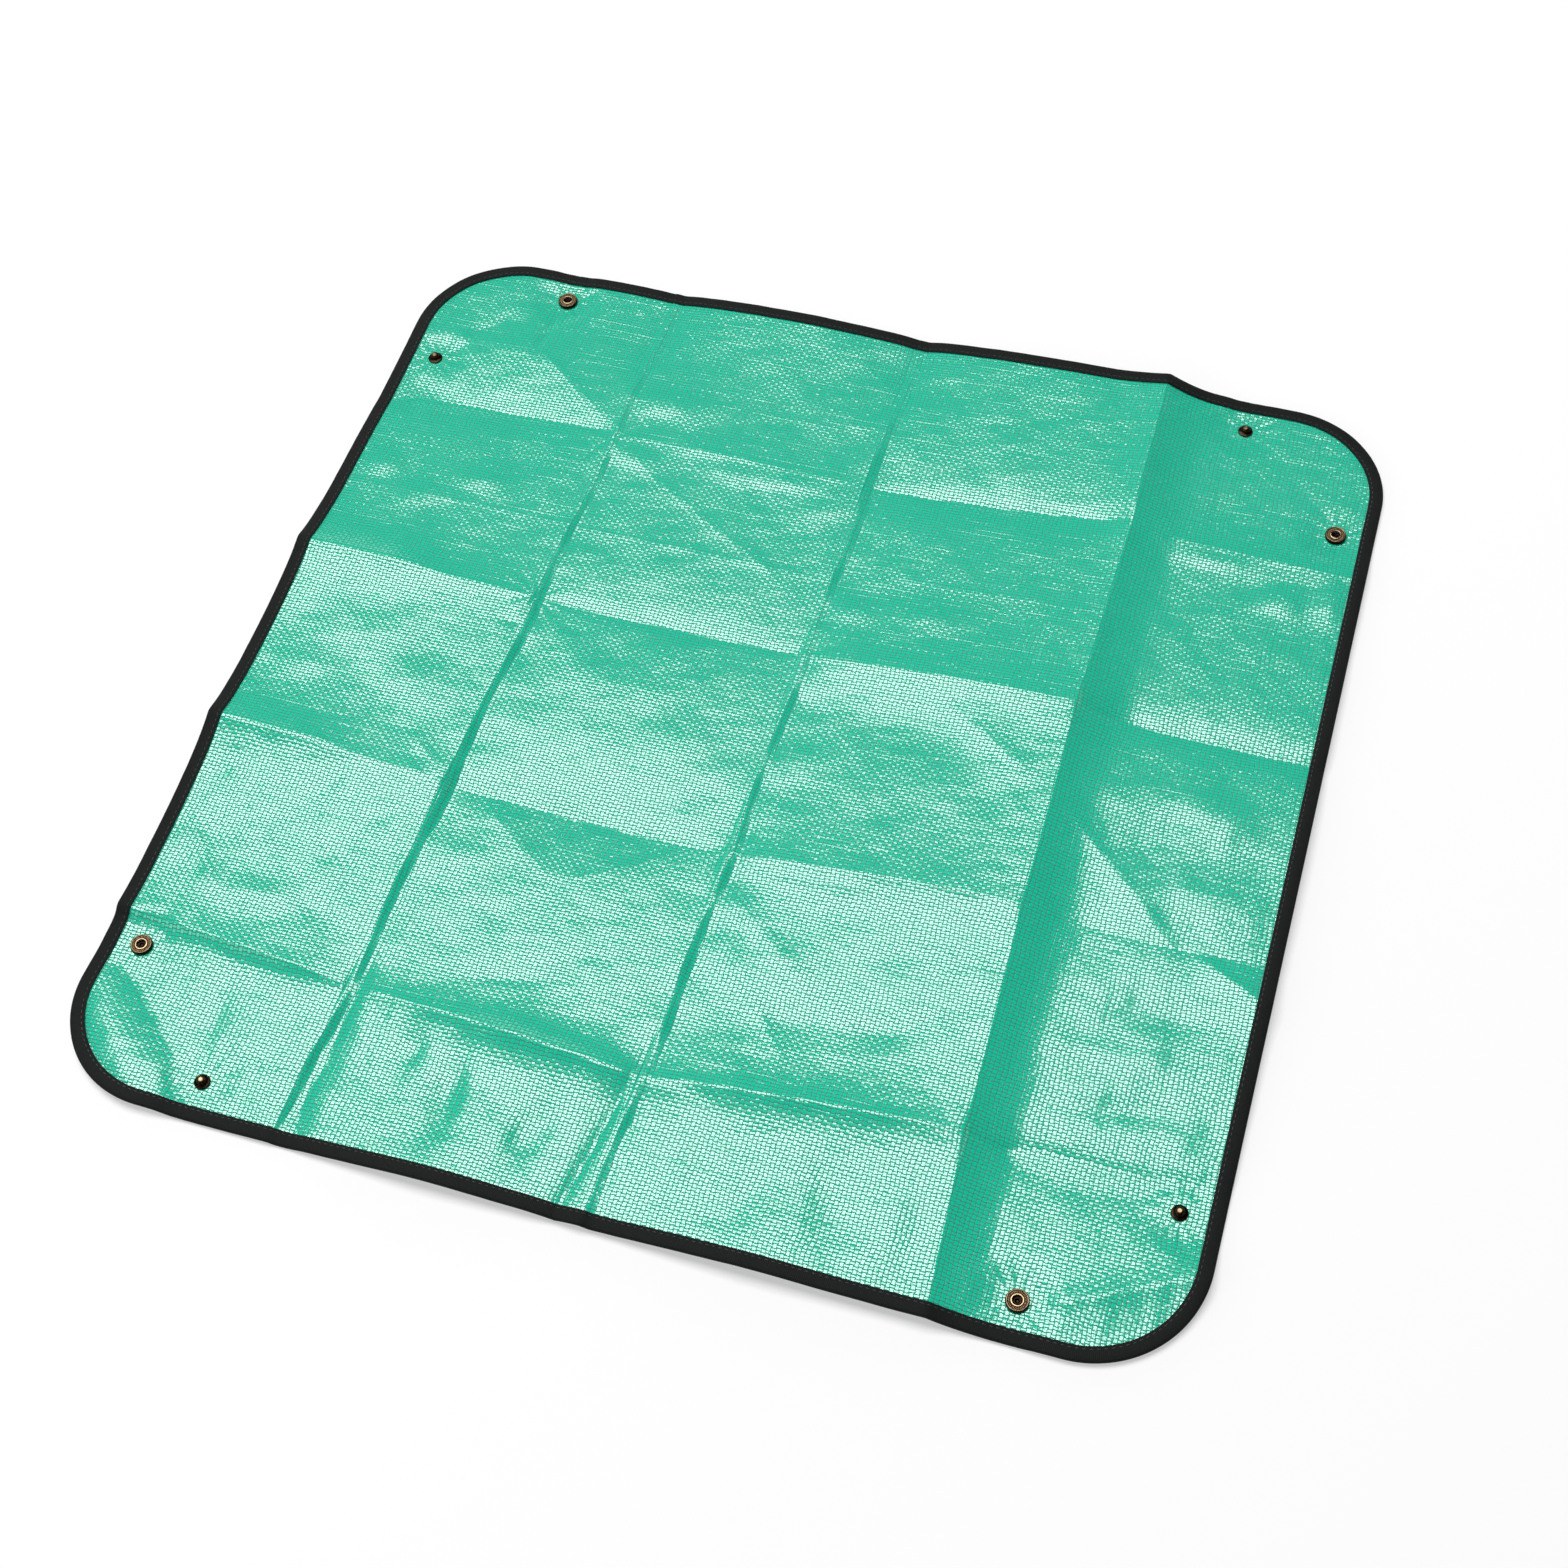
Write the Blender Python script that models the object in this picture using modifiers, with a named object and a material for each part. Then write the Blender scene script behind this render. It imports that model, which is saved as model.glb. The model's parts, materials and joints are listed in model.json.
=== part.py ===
# Repotting mat: a square of coated woven sheet with a folded binding and eight snap halves.
# It lies open with the creases of its packing. Its four sides fold up into a tray, and each
# corner pinches outward into two ears whose snaps face each other.
# Metres, +Z up. +X is right, +Y is away. The origin is under the middle of the mat, where it lies.

import math

import bmesh
import bpy
import numpy as np
from mathutils import Matrix, Vector

# Driving sizes of the whole mat
MAT_SIDE = 0.680
CORNER_RADIUS = 0.0685
SHEET_THICKNESS = 0.0005
TOUCH_GAP = 0.0003

# Tray: the height of the sides that fold up, and how far over its fold line each side's hinge lies
WALL_HEIGHT = 0.110
FOLD_CLEARANCE = 0.0025

# Binding tape, folded over the edge
BINDING_WIDTH = 0.009
TAPE_THICKNESS = 0.0007
TAPE_GAP = 0.0004

# Creases of the packed mat. Four run across it, the first by the tray's front fold, at places that are
# shares of half the tray's floor. SHOULDER_SHARE is how far the right long crease's steep side
# reaches towards the floor's right fold.
CROSS_CREASE_SHARES = (-1, -0.372, 0.265, 0.902)
SHOULDER_SHARE = 0.62
LONG_CREASE_SIGNS = (-1, -1, 1)

# Where the three long creases lie, as shares of half the floor, at the front edge, at each cross
# crease and at the back edge
LONG_CREASE_SHARES = (
    (-0.830, -0.010, 0.858),
    (-0.800, 0.016, 0.832),
    (-0.775, 0.028, 0.816),
    (-0.752, 0.034, 0.808),
    (-0.735, 0.037, 0.810),
    (-0.730, 0.044, 0.805),
)

# How far each cross crease strays from its straight line at the left edge, at the long creases and at
# the right edge, as shares of half the floor
CROSS_CREASE_STRAY_SHARES = (
    (0.045, 0.000, -0.040, 0.000, -0.005),
    (0.015, -0.013, -0.027, 0.010, 0.005),
    (0.000, -0.007, -0.002, 0.010, -0.002),
    (-0.002, -0.003, -0.018, 0.022, 0.005),
)

# Heights of the sheet over the table, front edge to back edge, as shares of RELIEF.
# Columns: left edge, the three long creases, the foot of the right one's shoulder, right edge.
RELIEF = 0.020
HEIGHT_SHARES = (
    (0.14, 0.33, 0.24, 0.36, 0.22, 0.14),
    (0.34, 0.36, 0.26, 0.44, 0.26, 0.34),
    (0.62, 0.36, 0.15, 0.80, 0.44, 0.48),
    (0.66, 0.40, 0.15, 0.92, 0.50, 0.50),
    (0.44, 0.42, 0.24, 0.46, 0.28, 0.36),
    (0.16, 0.32, 0.40, 0.36, 0.24, 0.14),
)

# A crease stands out from its panels by its depth, which fades over its reach.
CREASE_DEPTH = 0.0030
CREASE_REACH = 0.014
CROSS_CREASE_DEPTH = 0.0024
CROSS_CREASE_SIGNS = (
    (1, -1, 1, -1),
    (1, -1, 1, -1),
    (1, -1, 1, -1),
    (-1, 1, -1, 1),
)

# Snaps: how far each sits from its ear's fold line and in from the mat's edge
SNAP_FROM_FOLD = 0.012
SNAP_INSET = 0.025
SNAP_FLAT_REACH = 0.016
SNAP_FADE_REACH = 0.045
FLANGE_THICKNESS = 0.0009
PLATE_THICKNESS = 0.0006
POST_RADIUS = 0.0017
POST_BORE_RADIUS = 0.0011
POST_HEAD_RADIUS = 0.0023
POST_HEAD_THICKNESS = 0.0004
EDGE_ROUND = 0.0003

SOCKET_RADIUS = 0.0068
SOCKET_HEIGHT = 0.0026
SOCKET_MOUTH_RADIUS = 0.0028
SOCKET_LIP_THICKNESS = 0.0005
SPRING_WIRE_RADIUS = 0.0003
SPRING_GAP_ANGLE = math.radians(40)
CAP_RADIUS = 0.0063

STUD_RADIUS = 0.0049
STUD_NECK_RADIUS = 0.0024
STUD_BALL_RADIUS = 0.0027
STUD_BALL_HEIGHT = 0.0030
BACK_RADIUS = 0.0050

# How finely the solids are cut
LONG_BAND_SHARES = ((0, 0.72), (0, 0.08, 0.5, 0.92), (0, 0.08, 0.5, 0.92), (0,), (0,))
CROSS_BAND_SHARES = ((0, 0.1, 0.5, 0.9), (0, 0.1, 0.5, 0.9), (0, 0.1, 0.5, 0.9), (0,))
FOLDED_ROW_SHARES = (0, 0.15, 0.36, 0.57, 0.76, 0.90, 1)
EAR_STRAIGHT_STEPS = 4
EAR_ARC_STEPS = 6
TURNED_STEPS = 16
SPRING_STEPS = 14

HALF = MAT_SIDE / 2
FLOOR_HALF = HALF - WALL_HEIGHT
SEAM = TOUCH_GAP / 2
SHEET_EDGE_INSET = TAPE_THICKNESS + TOUCH_GAP
TAPE_OFFSET = SHEET_THICKNESS / 2 + TAPE_GAP + TAPE_THICKNESS / 2
BINDING_HALF_STACK = TAPE_OFFSET + TAPE_THICKNESS / 2
SNAP_SHEET_HEIGHT = FLANGE_THICKNESS + TOUCH_GAP + SHEET_THICKNESS / 2
SNAP_TOP = SNAP_SHEET_HEIGHT + SHEET_THICKNESS / 2 + TOUCH_GAP

# Each corner has one socket ear and one stud ear. The first word is the wall that carries the ear.
SOCKET_EARS = (("back", "left"), ("right", "back"), ("front", "right"), ("left", "front"))
STUD_EARS = (("left", "back"), ("back", "right"), ("right", "front"), ("front", "left"))
SIDE_DIRECTIONS = {"front": (0, -1), "right": (1, 0), "back": (0, 1), "left": (-1, 0)}


def smooth_share(value):
    """A smooth step from 0 to 1."""
    held = np.clip(value, 0, 1)
    return held * held * (3 - 2 * held)


def long_creases(y):
    """Where the front-to-back creases lie at y, as x, and the foot of the right one's shoulder."""
    rows = [-HALF] + [share * FLOOR_HALF for share in CROSS_CREASE_SHARES] + [HALF]
    creases = [FLOOR_HALF * np.interp(y, rows, shares) for shares in zip(*LONG_CREASE_SHARES)]
    foot = creases[-1] + SHOULDER_SHARE * (FLOOR_HALF - creases[-1])
    return creases, foot


def cross_creases(x):
    """Where the creases that run across the mat lie at x, as y."""
    places = [-HALF] + long_creases(0)[0] + [HALF]
    strays = [np.interp(x, places, shares) for shares in CROSS_CREASE_STRAY_SHARES]
    return [FLOOR_HALF * (share + stray) for share, stray in zip(CROSS_CREASE_SHARES, strays)]


def column_lines(y):
    """The lines that the floor's columns lie between, from its left side to its right side."""
    creases, foot = long_creases(y)
    return [-FLOOR_HALF] + creases + [foot, FLOOR_HALF]


def row_lines(x):
    """The lines that the floor's rows lie between, from its front to its back."""
    return [-FLOOR_HALF] + cross_creases(x)[1:] + [FLOOR_HALF]


def snap_places():
    """All eight snap places, x and y."""
    near, far = FLOOR_HALF + SNAP_FROM_FOLD, HALF - SNAP_INSET
    pairs = ((near, far), (far, near))
    return [(sx * a, sy * b) for a, b in pairs for sx in (-1, 1) for sy in (-1, 1)]


def inner_point(x, y):
    """The nearest point inside the binding's inner edge, so the sheet lies level under the binding."""
    limit = HALF - BINDING_WIDTH
    centre = HALF - CORNER_RADIUS
    inner_radius = CORNER_RADIUS - BINDING_WIDTH
    held_x, held_y = np.clip(x, -limit, limit), np.clip(y, -limit, limit)
    dx, dy = np.abs(x) - centre, np.abs(y) - centre
    reach = np.hypot(dx, dy)
    outside = (dx > 0) & (dy > 0) & (reach > inner_radius)
    pull = inner_radius / np.where(outside, reach, 1)
    arc_x = np.sign(x) * (centre + dx * pull)
    arc_y = np.sign(y) * (centre + dy * pull)
    return np.where(outside, arc_x, held_x), np.where(outside, arc_y, held_y)


def place_between(lines, value):
    """Which two neighbouring lines a value lies between, and its share of the way from the first."""
    stack = np.stack(lines)
    index = np.clip((value >= stack).sum(axis=0) - 1, 0, len(lines) - 2)
    start = np.take_along_axis(stack, index[None], 0)[0]
    end = np.take_along_axis(stack, index[None] + 1, 0)[0]
    return index, (value - start) / (end - start)


def crease_field(x, y):
    """Height over the table of the creased sheet, before its snaps press it flat.

    The crease table is read straight between its lines. Each crease then adds its depth,
    fading as exp(-distance / reach). A cross crease turns from valley to ridge in each column."""
    edge = HALF + 0 * x
    creases, foot = long_creases(y)
    crossings = cross_creases(x)
    heights = RELIEF * np.array(HEIGHT_SHARES)
    row, row_share = place_between([-edge] + crossings + [edge], y)
    column, column_share = place_between([-edge] + creases + [foot, edge], x)
    front = heights[row, column] * (1 - column_share) + heights[row, column + 1] * column_share
    back = heights[row + 1, column] * (1 - column_share) + heights[row + 1, column + 1] * column_share
    height = front * (1 - row_share) + back * row_share

    for crease, sign in zip(creases, LONG_CREASE_SIGNS):
        height = height + sign * CREASE_DEPTH * np.exp(-np.abs(x - crease) / CREASE_REACH)

    panel, panel_share = place_between([-edge] + creases + [edge], x)
    swell = np.sqrt(4 * panel_share * (1 - panel_share))
    at_side = ((panel == 0) & (panel_share < 0.5)) | ((panel == len(creases)) & (panel_share > 0.5))
    swell = np.where(at_side, 1, swell)
    for line, signs in zip(crossings, CROSS_CREASE_SIGNS):
        fade = np.exp(-np.abs(y - line) / CREASE_REACH)
        height = height + np.array(signs)[panel] * CROSS_CREASE_DEPTH * swell * fade
    return height


def sheet_height(x, y):
    """Height over the table of the sheet's middle surface."""
    x, y = np.asarray(x, float), np.asarray(y, float)
    inner_x, inner_y = inner_point(x, y)
    height = crease_field(inner_x, inner_y)
    for place_x, place_y in snap_places():
        distance = np.hypot(inner_x - place_x, inner_y - place_y)
        press = 1 - smooth_share((distance - SNAP_FLAT_REACH) / (SNAP_FADE_REACH - SNAP_FLAT_REACH))
        height = height * (1 - press) + SNAP_SHEET_HEIGHT * press
    edge_distance = np.minimum(HALF - np.abs(inner_x), HALF - np.abs(inner_y))
    at_edge = 1 - smooth_share(edge_distance / (2 * BINDING_WIDTH) - 0.5)
    least = SHEET_THICKNESS / 2 + at_edge * (BINDING_HALF_STACK - SHEET_THICKNESS / 2)
    return np.maximum(height, least)


def subdivide(lines, band_shares):
    """Stations between neighbouring lines, at the shares given for each band."""
    stations = []
    for start, end, shares in zip(lines[:-1], lines[1:], band_shares):
        stations.extend(start + (end - start) * share for share in shares)
    stations.append(lines[-1])
    return stations


def new_collection(name):
    collection = bpy.data.collections.new(name)
    bpy.context.scene.collection.children.link(collection)
    return collection


def principled(name, colour, roughness, metallic=0.0):
    material = bpy.data.materials.new(name)
    material.use_nodes = True
    shader = material.node_tree.nodes["Principled BSDF"]
    shader.inputs["Base Color"].default_value = (*colour, 1)
    shader.inputs["Roughness"].default_value = roughness
    shader.inputs["Metallic"].default_value = metallic
    material.diffuse_color = (*colour, 1)
    return material


def place_on(obj, hinge):
    """Parent a piece to its hinge without moving it."""
    if hinge is not None:
        obj.parent = hinge
        obj.matrix_parent_inverse = Matrix.Translation(-hinge_place[hinge.name])


def add_object(name, mesh, material, hinge):
    mesh.materials.append(material)
    obj = bpy.data.objects.new(name, mesh)
    parts.objects.link(obj)
    place_on(obj, hinge)
    return obj


def surface_mesh(name, points):
    """A grid of rows of points as an open surface. Points that fall together become one."""
    rows, columns = points.shape[:2]
    shape = bmesh.new()
    bmesh.ops.create_grid(shape, x_segments=columns - 1, y_segments=rows - 1, size=1)
    shape.verts.ensure_lookup_table()
    for vertex, place in zip(shape.verts, points.reshape(-1, 3)):
        vertex.co = place
    bmesh.ops.remove_doubles(shape, verts=shape.verts, dist=SEAM / 10)
    bmesh.ops.recalc_face_normals(shape, faces=shape.faces)
    mesh = bpy.data.meshes.new(name)
    shape.to_mesh(mesh)
    shape.free()
    return mesh


def thick_surface(name, points, thickness, material, hinge):
    """A surface given its thickness evenly to both sides."""
    obj = add_object(name, surface_mesh(name, points), material, hinge)
    solid = obj.modifiers.new("Thickness", "SOLIDIFY")
    solid.thickness = thickness
    solid.offset = 0
    return obj


def with_height(x, y):
    """Points of the sheet over plan places x, y."""
    return np.stack([x, y, sheet_height(x, y)], axis=-1)


def floor_points():
    """The floor of the tray: its grid follows the creases, inside the four fold lines."""
    middle_rows = subdivide(row_lines(0), CROSS_BAND_SHARES)
    x = np.stack([subdivide(column_lines(y), LONG_BAND_SHARES) for y in middle_rows])
    y = np.stack([subdivide(row_lines(place), CROSS_BAND_SHARES) for place in x[0]], axis=1)
    limit = FLOOR_HALF - SEAM
    return with_height(np.clip(x, -limit, limit), np.clip(y, -limit, limit))


def wall_stations(side, outward):
    """Places along a wall, at a distance outward from the mat's middle."""
    direction = SIDE_DIRECTIONS[side]
    held = min(outward, HALF - BINDING_WIDTH)
    if direction[0]:
        stations = subdivide(row_lines(direction[0] * held), CROSS_BAND_SHARES)
    else:
        stations = subdivide(column_lines(direction[1] * held), LONG_BAND_SHARES)
    limit = FLOOR_HALF - SEAM
    return np.clip(np.array(stations), -limit, limit)


def wall_plan(side, outward):
    """Plan places along a wall, at a distance outward from the mat's middle."""
    along = wall_stations(side, outward)
    across = np.full_like(along, outward)
    direction = SIDE_DIRECTIONS[side]
    if direction[0]:
        return direction[0] * across, along
    return along, direction[1] * across


def wall_points(side):
    """A side of the tray, from its fold line to the sheet's edge inside the binding."""
    inner_rows = [FLOOR_HALF + share * (WALL_HEIGHT - BINDING_WIDTH) for share in FOLDED_ROW_SHARES]
    rows = inner_rows + [HALF - SHEET_EDGE_INSET]
    rows[0] = FLOOR_HALF + SEAM
    plans = [wall_plan(side, outward) for outward in rows]
    return with_height(np.stack([x for x, _ in plans]), np.stack([y for _, y in plans]))


def ear_rim(inset):
    """An ear's rim at a distance in from the mat's outline, from its wall's end to the diagonal.

    Returns how far each point lies across from the wall's end and outward from the fold line."""
    centre = WALL_HEIGHT - CORNER_RADIUS
    radius = CORNER_RADIUS - inset
    straight = np.linspace(0, centre, EAR_STRAIGHT_STEPS + 1)[:-1]
    last_angle = math.pi / 4 - SEAM / (CORNER_RADIUS - BINDING_WIDTH)
    angles = np.linspace(0, last_angle, EAR_ARC_STEPS + 1)
    across = np.concatenate([straight, centre + radius * np.sin(angles)])
    outward = np.concatenate([np.full_like(straight, WALL_HEIGHT - inset), centre + radius * np.cos(angles)])
    return across, outward


def ear_to_mat(wall, corner, across, outward):
    """Plan places of an ear on the mat, kept clear of its wall and of the other ear."""
    outward = np.maximum(outward, SEAM * (1 + math.sqrt(2)))
    across = np.clip(across, SEAM, outward - SEAM * math.sqrt(2))
    wall_x, wall_y = SIDE_DIRECTIONS[wall]
    corner_x, corner_y = SIDE_DIRECTIONS[corner]
    x = wall_x * (FLOOR_HALF + outward) + corner_x * (FLOOR_HALF + across)
    y = wall_y * (FLOOR_HALF + outward) + corner_y * (FLOOR_HALF + across)
    return x, y


def ear_points(wall, corner):
    """Half of a corner square, as rows that spread from the floor's corner to the rim."""
    inner_across, inner_outward = ear_rim(BINDING_WIDTH)
    rim_across, rim_outward = ear_rim(SHEET_EDGE_INSET)
    shares = np.array(FOLDED_ROW_SHARES)[:, None]
    across = np.vstack([shares * inner_across, rim_across])
    outward = np.vstack([shares * inner_outward, rim_outward])
    return with_height(*ear_to_mat(wall, corner, across, outward))


def tape_section():
    """The folded tape: how far in from the outline and how far over the sheet, top flap to bottom flap."""
    fold_inset = TAPE_THICKNESS / 2
    flap_start = fold_inset + TAPE_OFFSET
    return (
        (BINDING_WIDTH, TAPE_OFFSET),
        (flap_start, TAPE_OFFSET),
        (fold_inset, 0),
        (flap_start, -TAPE_OFFSET),
        (BINDING_WIDTH, -TAPE_OFFSET),
    )


def binding_points(plan_at):
    """The tape along an edge. plan_at gives plan places at a distance in from the outline."""
    rows = []
    for inset, over in tape_section():
        x, y = plan_at(inset)
        rows.append(np.stack([x, y, sheet_height(x, y) + over], axis=-1))
    return np.stack(rows)


def turned(name, profile, place, material, hinge, closed):
    """A turned part: its outline runs outward at the top, down the outer side and back in."""
    mesh = bpy.data.meshes.new(name)
    edges = [(index, index + 1) for index in range(len(profile) - 1)]
    if closed:
        edges.append((len(profile) - 1, 0))
    mesh.from_pydata([(radius, 0, height) for radius, height in profile], edges, [])
    obj = add_object(name, mesh, material, hinge)
    obj.location = (*place, 0)
    screw = obj.modifiers.new("Turn", "SCREW")
    screw.steps = TURNED_STEPS
    screw.render_steps = TURNED_STEPS
    screw.use_merge_vertices = True
    screw.merge_threshold = SEAM / 10
    return obj


def socket_profile():
    """A hollow ring: a plate on the sheet, an outer wall and a lip round the mouth."""
    bottom = SNAP_TOP
    top = bottom + SOCKET_HEIGHT
    bore = POST_RADIUS + TOUCH_GAP
    inner_wall = SOCKET_RADIUS - PLATE_THICKNESS
    return (
        (SOCKET_MOUTH_RADIUS, top - EDGE_ROUND),
        (SOCKET_MOUTH_RADIUS + EDGE_ROUND, top),
        (SOCKET_RADIUS - 3 * EDGE_ROUND, top),
        (SOCKET_RADIUS, top - 2 * EDGE_ROUND),
        (SOCKET_RADIUS, bottom + EDGE_ROUND),
        (SOCKET_RADIUS - EDGE_ROUND, bottom),
        (bore, bottom),
        (bore, bottom + PLATE_THICKNESS),
        (inner_wall, bottom + PLATE_THICKNESS),
        (inner_wall, top - 2 * SOCKET_LIP_THICKNESS),
        (SOCKET_MOUTH_RADIUS, top - SOCKET_LIP_THICKNESS - EDGE_ROUND),
    )


def flanged_post_profile(flange_radius, head_bottom):
    """A flange under the sheet and a hollow post through it, rolled over at the top."""
    top = head_bottom + POST_HEAD_THICKNESS
    bore_floor = FLANGE_THICKNESS
    return (
        (0, bore_floor),
        (POST_BORE_RADIUS, bore_floor),
        (POST_BORE_RADIUS, top - EDGE_ROUND),
        (POST_RADIUS, top),
        (POST_HEAD_RADIUS, top - POST_HEAD_THICKNESS / 2),
        (POST_HEAD_RADIUS, head_bottom),
        (POST_RADIUS, head_bottom),
        (POST_RADIUS, FLANGE_THICKNESS),
        (flange_radius - EDGE_ROUND, FLANGE_THICKNESS),
        (flange_radius, FLANGE_THICKNESS - EDGE_ROUND),
        (flange_radius - EDGE_ROUND, 0),
        (0, 0),
    )


def stud_profile():
    """A ring that flares up into a neck and a ball, bored through for its post."""
    bottom = SNAP_TOP
    plate_top = bottom + PLATE_THICKNESS
    top = plate_top + STUD_BALL_HEIGHT
    bore = POST_RADIUS + TOUCH_GAP
    return (
        (bore, top),
        (bore + (STUD_BALL_RADIUS - bore) / 2, top),
        (STUD_BALL_RADIUS, top - STUD_BALL_HEIGHT / 4),
        (STUD_BALL_RADIUS, top - STUD_BALL_HEIGHT / 2),
        (STUD_NECK_RADIUS, top - STUD_BALL_HEIGHT * 3 / 4),
        ((STUD_NECK_RADIUS + STUD_RADIUS) / 2, plate_top + EDGE_ROUND),
        (STUD_RADIUS - EDGE_ROUND, plate_top),
        (STUD_RADIUS, plate_top - EDGE_ROUND),
        (STUD_RADIUS - EDGE_ROUND, bottom),
        (bore, bottom),
    )


def spring_ring(name, place, material, hinge):
    """The split wire ring that lies in the socket round its mouth."""
    radius = SOCKET_MOUTH_RADIUS + SPRING_WIRE_RADIUS + TOUCH_GAP
    height = SNAP_TOP + SOCKET_HEIGHT - 2 * SOCKET_LIP_THICKNESS - SPRING_WIRE_RADIUS - TOUCH_GAP
    curve = bpy.data.curves.new(name, "CURVE")
    curve.dimensions = "3D"
    curve.bevel_depth = SPRING_WIRE_RADIUS
    curve.bevel_resolution = 1
    curve.use_fill_caps = True
    wire = curve.splines.new("POLY")
    wire.points.add(SPRING_STEPS)
    span = math.tau - SPRING_GAP_ANGLE
    for index, point in enumerate(wire.points):
        angle = SPRING_GAP_ANGLE / 2 + span * index / SPRING_STEPS
        point.co = (radius * math.cos(angle), radius * math.sin(angle), height, 1)
    curve.materials.append(material)
    obj = bpy.data.objects.new(name, curve)
    parts.objects.link(obj)
    obj.location = (*place, 0)
    place_on(obj, hinge)
    return obj


def snap_place(wall, corner):
    """Where an ear's snap sits."""
    wall_x, wall_y = SIDE_DIRECTIONS[wall]
    corner_x, corner_y = SIDE_DIRECTIONS[corner]
    near, far = FLOOR_HALF + SNAP_FROM_FOLD, HALF - SNAP_INSET
    return wall_x * far + corner_x * near, wall_y * far + corner_y * near


def punch_post_hole(sheet, place):
    """The hole in the sheet that the post goes through."""
    mesh = bpy.data.meshes.new(sheet.name + "_punch")
    shape = bmesh.new()
    bmesh.ops.create_cone(
        shape, cap_ends=True, segments=TURNED_STEPS // 2, depth=2 * SNAP_SHEET_HEIGHT,
        radius1=POST_RADIUS + TOUCH_GAP, radius2=POST_RADIUS + TOUCH_GAP,
    )
    shape.to_mesh(mesh)
    shape.free()
    punch = bpy.data.objects.new(mesh.name, mesh)
    punch.location = (*place, SNAP_SHEET_HEIGHT)
    punch.hide_render = True
    punch.display_type = "WIRE"
    cutters.objects.link(punch)
    cut = sheet.modifiers.new("Post hole", "BOOLEAN")
    cut.operation = "DIFFERENCE"
    cut.object = punch


def hinge_empty(name, place, parent=None):
    """An empty on a fold line, which the pieces that turn about it are parented to."""
    empty = bpy.data.objects.new(name, None)
    empty.location = place
    parts.objects.link(empty)
    hinge_place[name] = Vector(place)
    if parent is not None:
        empty.parent = parent
        empty.matrix_parent_inverse = Matrix.Translation(-hinge_place[parent.name])
    return empty


def wall_hinge(side):
    """A wall folds up, so its hinge lies level with the highest point of its fold line."""
    points = wall_points(side)[0]
    floor_edge = floor_points()
    edges = {"front": floor_edge[0], "back": floor_edge[-1], "left": floor_edge[:, 0], "right": floor_edge[:, -1]}
    seam_top = max(points[:, 2].max(), edges[side][:, 2].max()) + SHEET_THICKNESS / 2
    height = seam_top + FOLD_CLEARANCE
    direction = SIDE_DIRECTIONS[side]
    return hinge_empty("hinge_" + side, (direction[0] * FLOOR_HALF, direction[1] * FLOOR_HALF, height))


def ear_hinge(wall, corner, parent):
    """An ear folds outward, so its hinge lies level with the lowest point of its fold line."""
    points = ear_points(wall, corner)[:, 0]
    height = points[:, 2].min() - BINDING_HALF_STACK - TOUCH_GAP
    wall_x, wall_y = SIDE_DIRECTIONS[wall]
    corner_x, corner_y = SIDE_DIRECTIONS[corner]
    x = (wall_x + corner_x) * FLOOR_HALF
    y = (wall_y + corner_y) * FLOOR_HALF
    return hinge_empty(f"hinge_{wall}_{corner}", (x, y, height), parent)


for old in list(bpy.data.objects):
    bpy.data.objects.remove(old)

parts = new_collection("repotting_mat")
cutters = new_collection("cutters")
hinge_place = {}

woven_sheet = principled("coated_woven_sheet", (0.02, 0.52, 0.34), 0.35)
tape = principled("binding_tape", (0.012, 0.014, 0.013), 0.6)
old_brass = principled("antique_brass", (0.22, 0.13, 0.06), 0.35, 1.0)
spring_steel = principled("spring_wire", (0.5, 0.5, 0.48), 0.3, 1.0)

thick_surface("sheet_floor", floor_points(), SHEET_THICKNESS, woven_sheet, None)

for wall in SIDE_DIRECTIONS:
    hinge = wall_hinge(wall)
    thick_surface(f"sheet_wall_{wall}", wall_points(wall), SHEET_THICKNESS, woven_sheet, hinge)
    edge = binding_points(lambda inset: wall_plan(wall, HALF - inset))
    thick_surface(f"binding_{wall}", edge, TAPE_THICKNESS, tape, hinge)

for wall, corner in SOCKET_EARS + STUD_EARS:
    hinge = ear_hinge(wall, corner, bpy.data.objects["hinge_" + wall])
    ear = f"{wall}_{corner}"
    place = snap_place(wall, corner)
    sheet = thick_surface("sheet_ear_" + ear, ear_points(wall, corner), SHEET_THICKNESS, woven_sheet, hinge)
    punch_post_hole(sheet, place)
    edge = binding_points(lambda inset: ear_to_mat(wall, corner, *ear_rim(inset)))
    thick_surface("binding_ear_" + ear, edge, TAPE_THICKNESS, tape, hinge)
    if (wall, corner) in SOCKET_EARS:
        head_bottom = SNAP_TOP + PLATE_THICKNESS + TOUCH_GAP
        turned("snap_socket_" + ear, socket_profile(), place, old_brass, hinge, True)
        spring_ring("snap_spring_" + ear, place, spring_steel, hinge)
        turned("snap_cap_" + ear, flanged_post_profile(CAP_RADIUS, head_bottom), place, old_brass, hinge, False)
    else:
        head_bottom = SNAP_TOP + PLATE_THICKNESS + STUD_BALL_HEIGHT + TOUCH_GAP
        turned("snap_stud_" + ear, stud_profile(), place, old_brass, hinge, True)
        turned("snap_post_" + ear, flanged_post_profile(BACK_RADIUS, head_bottom), place, old_brass, hinge, False)
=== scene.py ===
import json
import math

import bmesh
import bpy
import numpy as np
from mathutils import Euler, Matrix, Vector


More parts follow.
